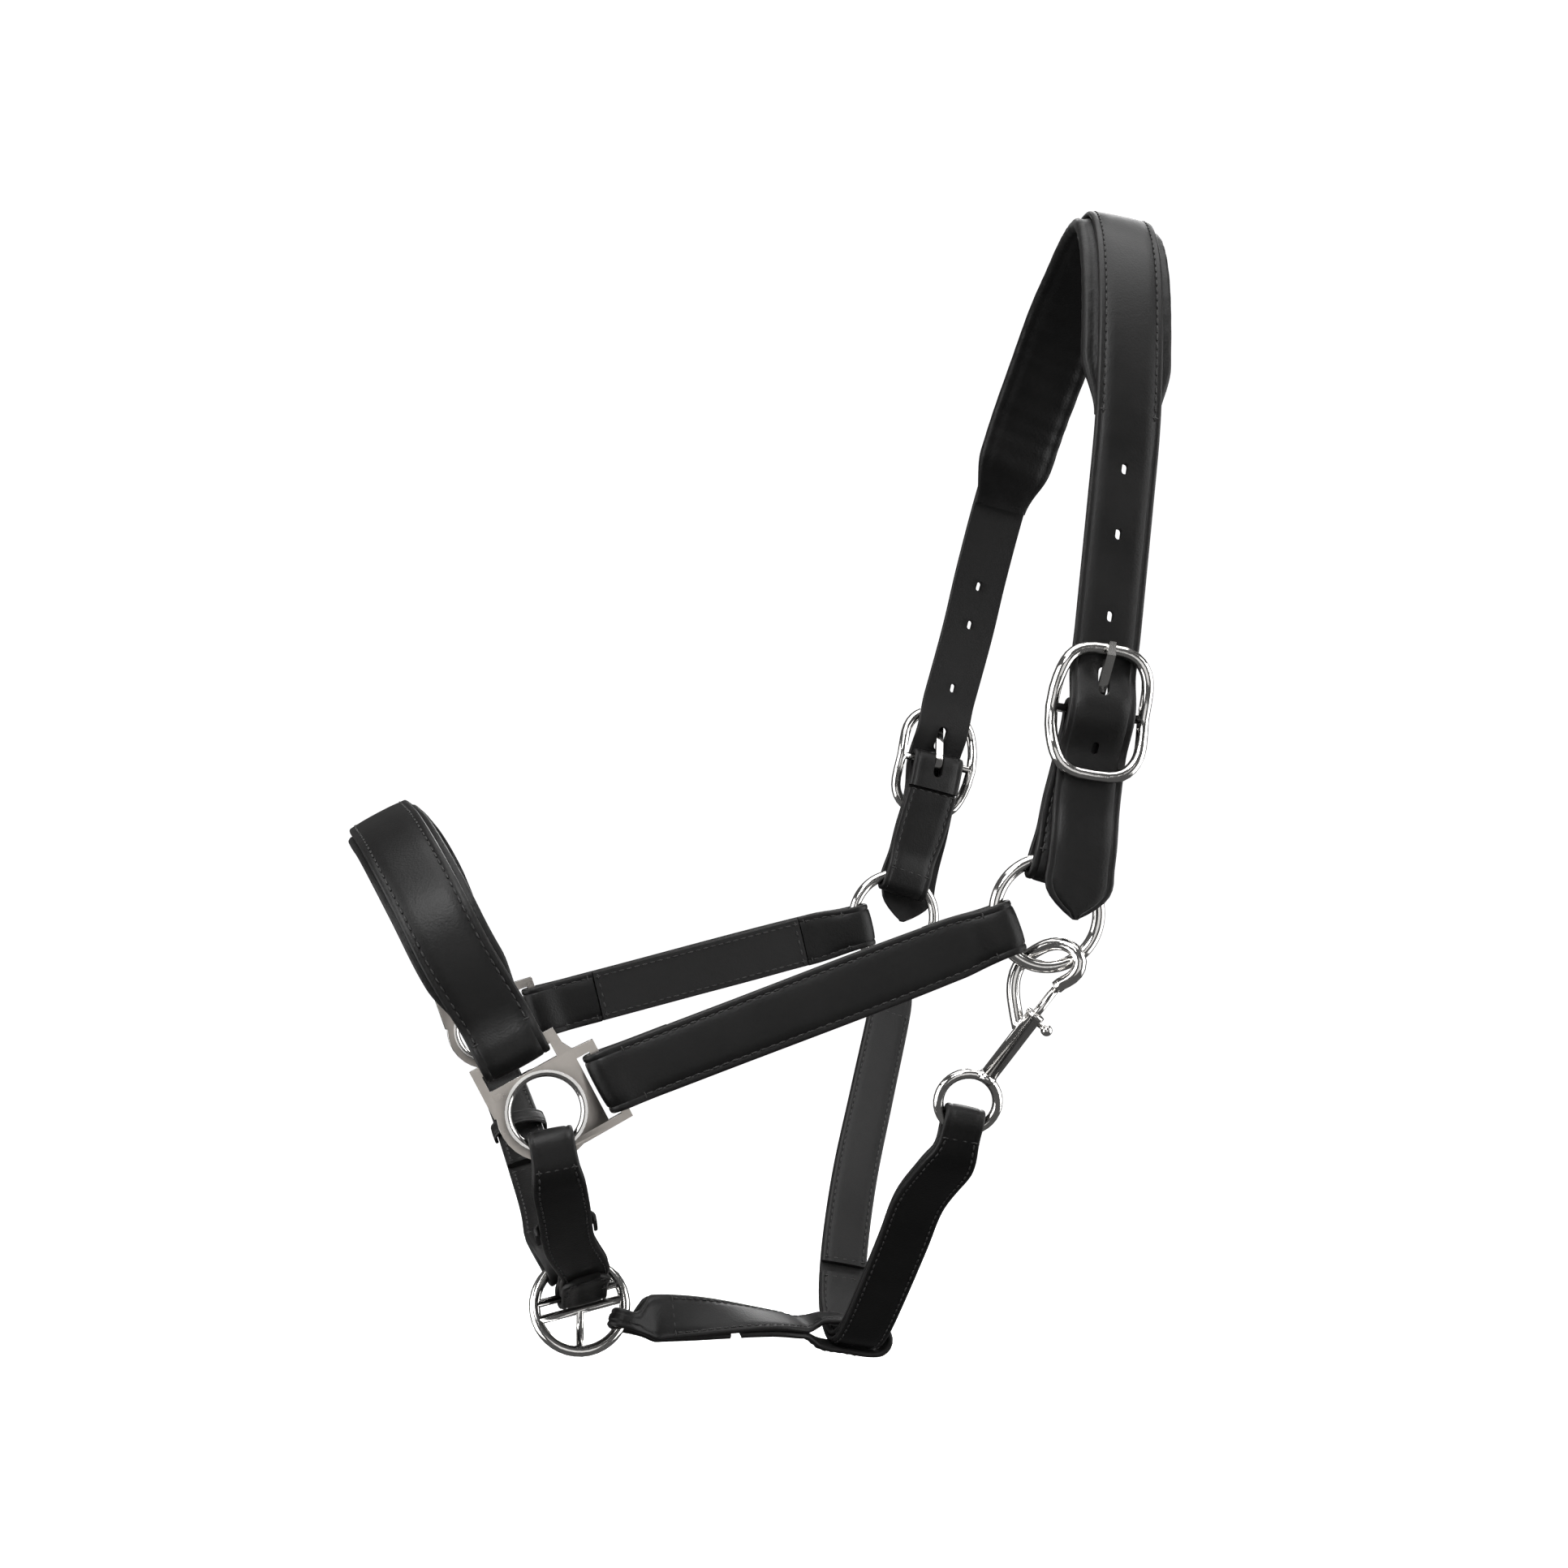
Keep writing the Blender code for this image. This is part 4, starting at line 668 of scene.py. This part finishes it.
def chape_rows(side):
    """The folded strip, from its end above the buckle bar down, round the ring and up."""
    out = Vector(joints[side + "_ring_spin"]["axis"]).normalized()
    bar = Vector(joints[side + "_tongue_lift"]["axis"]).normalized()
    centre = Vector(joints[side + "_tongue_lift"]["pos_m"])
    to_ring = Vector(joints[side + "_ring_spin"]["pos_m"]) - centre
    to_ring -= out * to_ring.dot(out)
    length, down = to_ring.length, to_ring.normalized()
    level = down.cross(out)
    level = level if level.dot(bar) > 0 else -level
    strap_down = out.cross(bar)
    strap_down = strap_down if strap_down.dot(down) > 0 else -strap_down
    lean = strap_down.dot(level) / strap_down.dot(down)
    pockets = (0.00305, 0.0037)         # round the buckle's bar, round the ring's wire
    clear = 0.0026                      # wire's middle to the leather at the fold
    inner = RING_RADIUS - clear
    edge = length - math.sqrt(inner ** 2 - (RING_END_WIDTH / 2) ** 2) - clear

    def height(s, sign):
        over = math.cos(math.pi * min(s / 0.0165, 1.0) / 2) ** 2
        near_bar = (-STAND + sign * CHAPE_LAYER) * (1 - over) + sign * pockets[0] * over
        near_ring = -STAND + sign * (CHAPE_LAYER + (pockets[1] - CHAPE_LAYER)
                                     * part_way(s, length - RING_RADIUS - 0.012, 0.012))
        return near_bar if s < 0.0227 else near_ring

    def turn(middle, radius, first, last):
        angles = [math.radians(first + (last - first) * k / 8) for k in range(9)]
        return [(middle[0] + radius * math.cos(a), middle[1] + radius * math.sin(a))
                for a in angles]

    body = [edge * k / 28 for k in range(1, 28)]
    path = [(s, height(s, -1)) for s in (0.013, 0.010, 0.005)]
    path += turn((0, 0), pockets[0], 270, 90) + [(s, height(s, 1)) for s in body]
    path += turn((edge, -STAND), pockets[1], 90, -90)
    path += [(s, height(s, -1)) for s in reversed(body) if s > 0.0135]
    rows = []
    for k, (s, n) in enumerate(path):
        before, after = path[max(k - 1, 0)], path[min(k + 1, len(path) - 1)]
        width = (BUCKLE_END_WIDTH
                 + (RING_END_WIDTH - BUCKLE_END_WIDTH) * part_way(s, 0.030, 0.020))
        across = level.lerp(bar, 1 - part_way(s, 0, 0.040)).normalized()
        place = centre + down * s + level * lean * s * (1 - s / length) ** 3 + out * n
        way = down * (after[0] - before[0]) + out * (after[1] - before[1])
        rows.append([*place, *across * width / 2, *way.cross(across).normalized()])
    rows = np.array(rows)
    bend = rows[:-2, :3] - 2 * rows[1:-1, :3] + rows[2:, :3]
    if np.sum(bend * rows[1:-1, 6:]) > 0:
        rows[:, 6:] *= -1
    return rows


for side in ("near", "far"):
    rows = chape_rows(side)
    chape = strap_piece(side + "_chape_leather", rows, LEATHER, SEAM_INSET, 0.00020, black_leather)
    bar = Vector(joints[side + "_tongue_lift"]["axis"]).normalized()
    middle = Vector(joints[side + "_tongue_lift"]["pos_m"])
    slot_points = [v.co.copy() for v in welded(side + "_chape").verts
                   if abs((v.co - middle).dot(bar)) < 0.0035
                   and (v.co - middle).length < 0.012]
    punch(chape, slot_points)
    stands_for(chape, side + "_chape")
    runs = [run for run in flat_runs(rows, tightest=0.0055) if run[1] - run[0] > 0.012]
    sew_runs(side + "_chape_stitching", side + "_chape", rows, SEAM_INSET, runs, trim=0.001)


# ---- cheek straps ------------------------------------------------------------------
# Each is one strip folded round the ring and round the bar of the square, its ends
# turned in and sewn, with a lining between the turned ends.
LINING = 0.0030             # thickness of the lining
CHEEK_INSET = 0.0024        # stitch line in from the edge

for side in ("near", "far"):
    rows = rows_of(rim(welded(side + "_cheek_strap"), LEATHER))
    cheek = strap_piece(side + "_cheek_leather", rows, LEATHER, CHEEK_INSET, 0.00050,
                        black_leather)
    stands_for(cheek, side + "_cheek_strap")
    sew_runs(side + "_cheek_stitching", side + "_cheek_strap", rows, CHEEK_INSET,
             flat_runs(rows))
    rows = rows_of(rim(welded(side + "_cheek_lining"), LINING))
    lining = strap_piece(side + "_cheek_lining_leather", rows, LINING, CHEEK_INSET, 0.0,
                         black_leather)
    stands_for(lining, side + "_cheek_lining")
    inward = -1 if np.dot(rows[0, 6:], joints[side + "_ring_spin"]["axis"]) > 0 else 1
    rows[:, 6:] *= inward
    sew_runs(side + "_cheek_lining_stitching", side + "_cheek_lining", rows, CHEEK_INSET,
             [(0.0, travelled(rows)[-1])], trim=0.0015, lift=0.00152)


# ---- noseband ----------------------------------------------------------------------
# A strap over the nose folded round the bars of both squares, sewn to a rolled pad
# whose edges show beyond it.
nose_rows = rows_of(rim(welded("noseband_strap"), LEATHER))
noseband = strap_piece("noseband_leather", nose_rows, LEATHER, SEAM_INSET, WIDE_CROWN,
                       black_leather)
stands_for(noseband, "noseband_strap")
nose_runs = flat_runs(nose_rows)
sew_runs("noseband_stitching", "noseband_strap", nose_rows, SEAM_INSET, nose_runs, trim=0.003)
nose_first, nose_last = max(nose_runs, key=lambda run: run[1] - run[0])
nose_pad = pad_piece("noseband_pad_leather", nose_rows, nose_first + 0.0100,
                     nose_last - 0.0100, half_width=0.01425, depth=0.0050, fade_length=0.018,
                     strap_half=0.0115, material=lining_leather)
stands_for(nose_pad, "noseband_pad")


# ---- throat, back and chin straps -----------------------------------------------------
# Narrow doubled straps, each one strip that runs round both of its fittings and is sewn
# down both edges. The chin straps carry small keepers of thinner leather.
KEEPER = 0.0014             # thickness of a keeper's leather

for node, inset in (("throat_strap", 0.0020), ("back_strap", 0.0019), ("near_chin_strap", 0.0020),
                    ("far_chin_strap", 0.0020)):
    rows = rows_of(rim(welded(node), LEATHER))
    strap = strap_piece(node + "_leather", rows, LEATHER, inset, 0.00025, black_leather)
    stands_for(strap, node)
    sew_runs(node + "_stitching", node, rows, inset, flat_runs(rows), pitch=0.0030)
for side in ("near", "far"):
    node = side + "_chin_keeper"
    rows = rows_of(rim(welded(node), KEEPER))
    keeper = strap_piece(node + "_leather", rows, KEEPER, 0.0016, 0.0001, black_leather,
                         spacing=0.0008)
    stands_for(keeper, node)


# ---- cheek rings -------------------------------------------------------------------
# Round wire bent to a ring, butt welded, and nickel plated to a bright polish.
RING_WIRE = 0.00225         # half the wire's thickness


def nickel(name, colour, low_rough, high_rough, wave_depth, scratch_depth):
    """Plated metal: a faint unevenness of the polish and fine handling marks."""
    material = bpy.data.materials.new(name)
    material.use_nodes = True
    tree = material.node_tree
    link = tree.links.new
    shader = tree.nodes["Principled BSDF"]
    shader.inputs["Metallic"].default_value = 1.0
    place = add_node(tree, "ShaderNodeTexCoord")
    cloud = add_node(tree, "ShaderNodeTexNoise")
    cloud.inputs["Scale"].default_value = 140
    cloud.inputs["Detail"].default_value = 5
    marks = add_node(tree, "ShaderNodeTexNoise")
    marks.inputs["Scale"].default_value = 1900
    marks.inputs["Detail"].default_value = 2
    for texture in (cloud, marks):
        link(place.outputs["Object"], texture.inputs["Vector"])
    tint = add_node(tree, "ShaderNodeValToRGB")
    tint.color_ramp.elements[0].position = 0.35
    tint.color_ramp.elements[0].color = (*(c * 0.88 for c in colour), 1)
    tint.color_ramp.elements[1].position = 0.62
    tint.color_ramp.elements[1].color = (*colour, 1)
    link(cloud.outputs["Fac"], tint.inputs["Fac"])
    link(tint.outputs["Color"], shader.inputs["Base Color"])
    gloss = add_node(tree, "ShaderNodeMapRange")
    gloss.inputs["From Min"].default_value = 0.3
    gloss.inputs["From Max"].default_value = 0.7
    gloss.inputs["To Min"].default_value = low_rough
    gloss.inputs["To Max"].default_value = high_rough
    link(cloud.outputs["Fac"], gloss.inputs["Value"])
    link(gloss.outputs["Result"], shader.inputs["Roughness"])
    wave = add_node(tree, "ShaderNodeBump")
    wave.inputs["Strength"].default_value = 0.5
    wave.inputs["Distance"].default_value = wave_depth
    link(cloud.outputs["Fac"], wave.inputs["Height"])
    fine = add_node(tree, "ShaderNodeBump")
    fine.inputs["Strength"].default_value = 0.4
    fine.inputs["Distance"].default_value = scratch_depth
    link(marks.outputs["Fac"], fine.inputs["Height"])
    link(wave.outputs["Normal"], fine.inputs["Normal"])
    link(fine.outputs["Normal"], shader.inputs["Normal"])
    return material


bright_nickel = nickel("bright_nickel", (0.80, 0.785, 0.765), 0.07, 0.15, 0.00010, 0.000006)


def ring_piece(name, centre, axis, radius, wire, material):
    """A wire ring as a fine closed loop."""
    ring = bmesh.new()
    z = axis.normalized()
    x = z.orthogonal().normalized()
    y = z.cross(x)
    loops = []
    for k in range(96):
        way = x * math.cos(math.tau * k / 96) + y * math.sin(math.tau * k / 96)
        loops.append([ring.verts.new(centre + way * (radius + wire * math.cos(math.tau * j / 24))
                                     + z * wire * math.sin(math.tau * j / 24)) for j in range(24)])
    for k in range(96):
        one, two = loops[k], loops[(k + 1) % 96]
        for j in range(24):
            i = (j + 1) % 24
            ring.faces.new((one[j], one[i], two[i], two[j]))
    bmesh.ops.recalc_face_normals(ring, faces=ring.faces)
    mesh = bpy.data.meshes.new(name)
    ring.to_mesh(mesh)
    ring.free()
    mesh.shade_smooth()
    mesh.materials.append(material)
    piece = bpy.data.objects.new(name, mesh)
    bpy.context.scene.collection.objects.link(piece)
    return piece


for side in ("near", "far"):
    spin = joints[side + "_ring_spin"]
    ring = ring_piece(side + "_cheek_ring_wire", Vector(spin["pos_m"]), Vector(spin["axis"]),
                      RING_RADIUS, RING_WIRE, bright_nickel)
    stands_for(ring, side + "_cheek_ring")


# ---- buckles, chin ring and bolt snap --------------------------------------------------
# Buckle frames, tongues and the chin ring are cast and plated. The snap's body is a
# turned barrel with its hook, and the bolt slides in it against a spring.
def polished_copy(node, name, material, sharp=40):
    """The frame node's own shape, joined and smoothly shaded."""
    surface = welded(node)
    mesh = bpy.data.meshes.new(name)
    surface.to_mesh(mesh)
    surface.free()
    mesh.shade_smooth()
    mesh.set_sharp_from_angle(angle=math.radians(sharp))
    mesh.materials.append(material)
    piece = bpy.data.objects.new(name, mesh)
    bpy.context.scene.collection.objects.link(piece)
    return stands_for(piece, node)


for node in ("near_buckle_frame", "far_buckle_frame", "near_buckle_tongue", "far_buckle_tongue",
             "chin_ring", "snap_body", "snap_bolt", "snap_knob", "snap_swivel_eye"):
    polished_copy(node, node + "_nickel", bright_nickel)
frame["nodes"]["snap_spring"].data.materials.clear()
frame["nodes"]["snap_spring"].data.materials.append(bright_nickel)


# ---- squares -----------------------------------------------------------------------
# Flat castings with a round hole and two slots. The faces keep a satin, slightly brown
# cast skin, and the rims and edges are polished bright.
satin_cast = nickel("satin_cast", (0.50, 0.465, 0.43), 0.26, 0.42, 0.00020, 0.00002)
for side in ("near", "far"):
    square = polished_copy(side + "_square", side + "_square_cast", satin_cast, 30)
    square.data.materials.append(bright_nickel)
    soften = square.modifiers.new("worn edges", "BEVEL")
    soften.width = 0.00035
    soften.segments = 2
    soften.limit_method = "ANGLE"
    soften.angle_limit = math.radians(50)
    plain_mesh(square)
    plate_normal = Vector(joints[side + "_ring_spin"]["axis"]).normalized()
    for face in square.data.polygons:
        face.material_index = 0 if abs(face.normal.dot(plate_normal)) > 0.97 else 1


# ---- studio ------------------------------------------------------------------------
# Six white walls that only the camera sees, soft light from four large panels, and
# glowing cards that only the polished metal and the leather's sheen reflect.
def stage_sheet(name, corners, colour, glow=0.0):
    mesh = bpy.data.meshes.new(name)
    mesh.from_pydata(corners, [], [tuple(range(len(corners)))])
    material = bpy.data.materials.new(name)
    material.use_nodes = True
    shader = material.node_tree.nodes["Principled BSDF"]
    shader.inputs["Base Color"].default_value = (*colour, 1)
    shader.inputs["Roughness"].default_value = 0.9
    shader.inputs["Emission Color"].default_value = (*colour, 1)
    shader.inputs["Emission Strength"].default_value = glow
    mesh.materials.append(material)
    sheet = bpy.data.objects.new(name, mesh)
    bpy.context.scene.collection.objects.link(sheet)
    return sheet


floor_z = cad_box[0][2] - 0.22
room_half, ceiling_z = 6.0, floor_z + 7.0
room_corners = [(-room_half, -room_half), (room_half, -room_half), (room_half, room_half),
                (-room_half, room_half)]
walls = [("floor", [(x, y, floor_z) for x, y in room_corners]),
         ("ceiling", [(x, y, ceiling_z) for x, y in room_corners])]
for name, one, two in (("wall_back", 3, 2), ("wall_front", 0, 1), ("wall_left", 0, 3),
                       ("wall_right", 1, 2)):
    walls.append((name, [(*room_corners[one], floor_z), (*room_corners[two], floor_z),
                         (*room_corners[two], ceiling_z), (*room_corners[one], ceiling_z)]))
for name, corners in walls:
    wall = stage_sheet(name, corners, (0.97, 0.97, 0.97), 1.0)
    wall.visible_diffuse = wall.visible_glossy = wall.visible_shadow = False
for name, corners in (
        ("card_left", [(-1.4, -1.0, -1.0), (-1.4, 0.5, -1.0), (-1.4, 0.5, 0.5), (-1.4, -1.0, 0.5)]),
        ("card_right", [(1.1, -1.2, -1.0), (1.1, 0.2, -1.0), (1.1, 0.2, 0.4), (1.1, -1.2, 0.4)]),
        ("card_above", [(-0.9, -0.9, 0.9), (0.7, -0.9, 0.9), (0.7, 0.4, 0.9), (-0.9, 0.4, 0.9)]),
        ("card_front",
         [(-0.9, -1.9, -0.9), (0.4, -1.9, -0.9), (0.4, -1.9, 0.2), (-0.9, -1.9, 0.2)])):
    card = stage_sheet(name, corners, (0.9, 0.9, 0.9), 0.55 if name == "card_front" else 2.4)
    card.visible_camera = card.visible_diffuse = card.visible_shadow = False


def panel(name, place, target, size, power):
    light = bpy.data.lights.new(name, "AREA")
    light.shape = "RECTANGLE"
    light.size, light.size_y = size
    light.energy = power
    lamp = bpy.data.objects.new(name, light)
    lamp.location = place
    lamp.rotation_mode = "QUATERNION"
    lamp.rotation_quaternion = (Vector(target) - Vector(place)).to_track_quat("-Z", "Y")
    bpy.context.scene.collection.objects.link(lamp)


middle = (Vector(cad_box[0]) + Vector(cad_box[1])) / 2
panel("key_panel", middle + Vector((-0.7, -1.3, 1.1)), middle, (0.7, 0.7), 16)
panel("fill_panel", middle + Vector((1.3, -0.9, 0.4)), middle, (0.5, 1.0), 7)
panel("back_panel", middle + Vector((0.7, 1.3, 0.9)), middle, (0.8, 0.8), 12)
panel("top_panel", middle + Vector((0.0, 0.1, 1.5)), middle, (1.1, 0.9), 12)

world = bpy.data.worlds.new("studio")
bpy.context.scene.world = world
world.use_nodes = True
world.node_tree.nodes["Background"].inputs["Color"].default_value = (1, 1, 1, 1)
world.node_tree.nodes["Background"].inputs["Strength"].default_value = 0.10
bpy.context.scene.view_settings.view_transform = "Standard"

# The camera stands off the near side, a little towards the nose, and looks slightly up.
azimuth, pitch = math.radians(-12.3), math.radians(2.6)
right = Vector((math.cos(azimuth), math.sin(azimuth), 0))
level = Vector((-math.sin(azimuth), math.cos(azimuth), 0))
forward = level * math.cos(pitch) + Vector((0, 0, math.sin(pitch)))
upward = right.cross(forward)
lens = bpy.data.cameras.new("camera")
lens.lens = 46.58
lens.sensor_width = 36
lens.clip_start = 0.01
camera = bpy.data.objects.new("camera", lens)
bpy.context.scene.collection.objects.link(camera)
camera.matrix_world = (Matrix.Translation((-0.29916, -0.78300, -0.23545))
                       @ Matrix((right, upward, -forward)).transposed().to_4x4())
bpy.context.scene.camera = camera
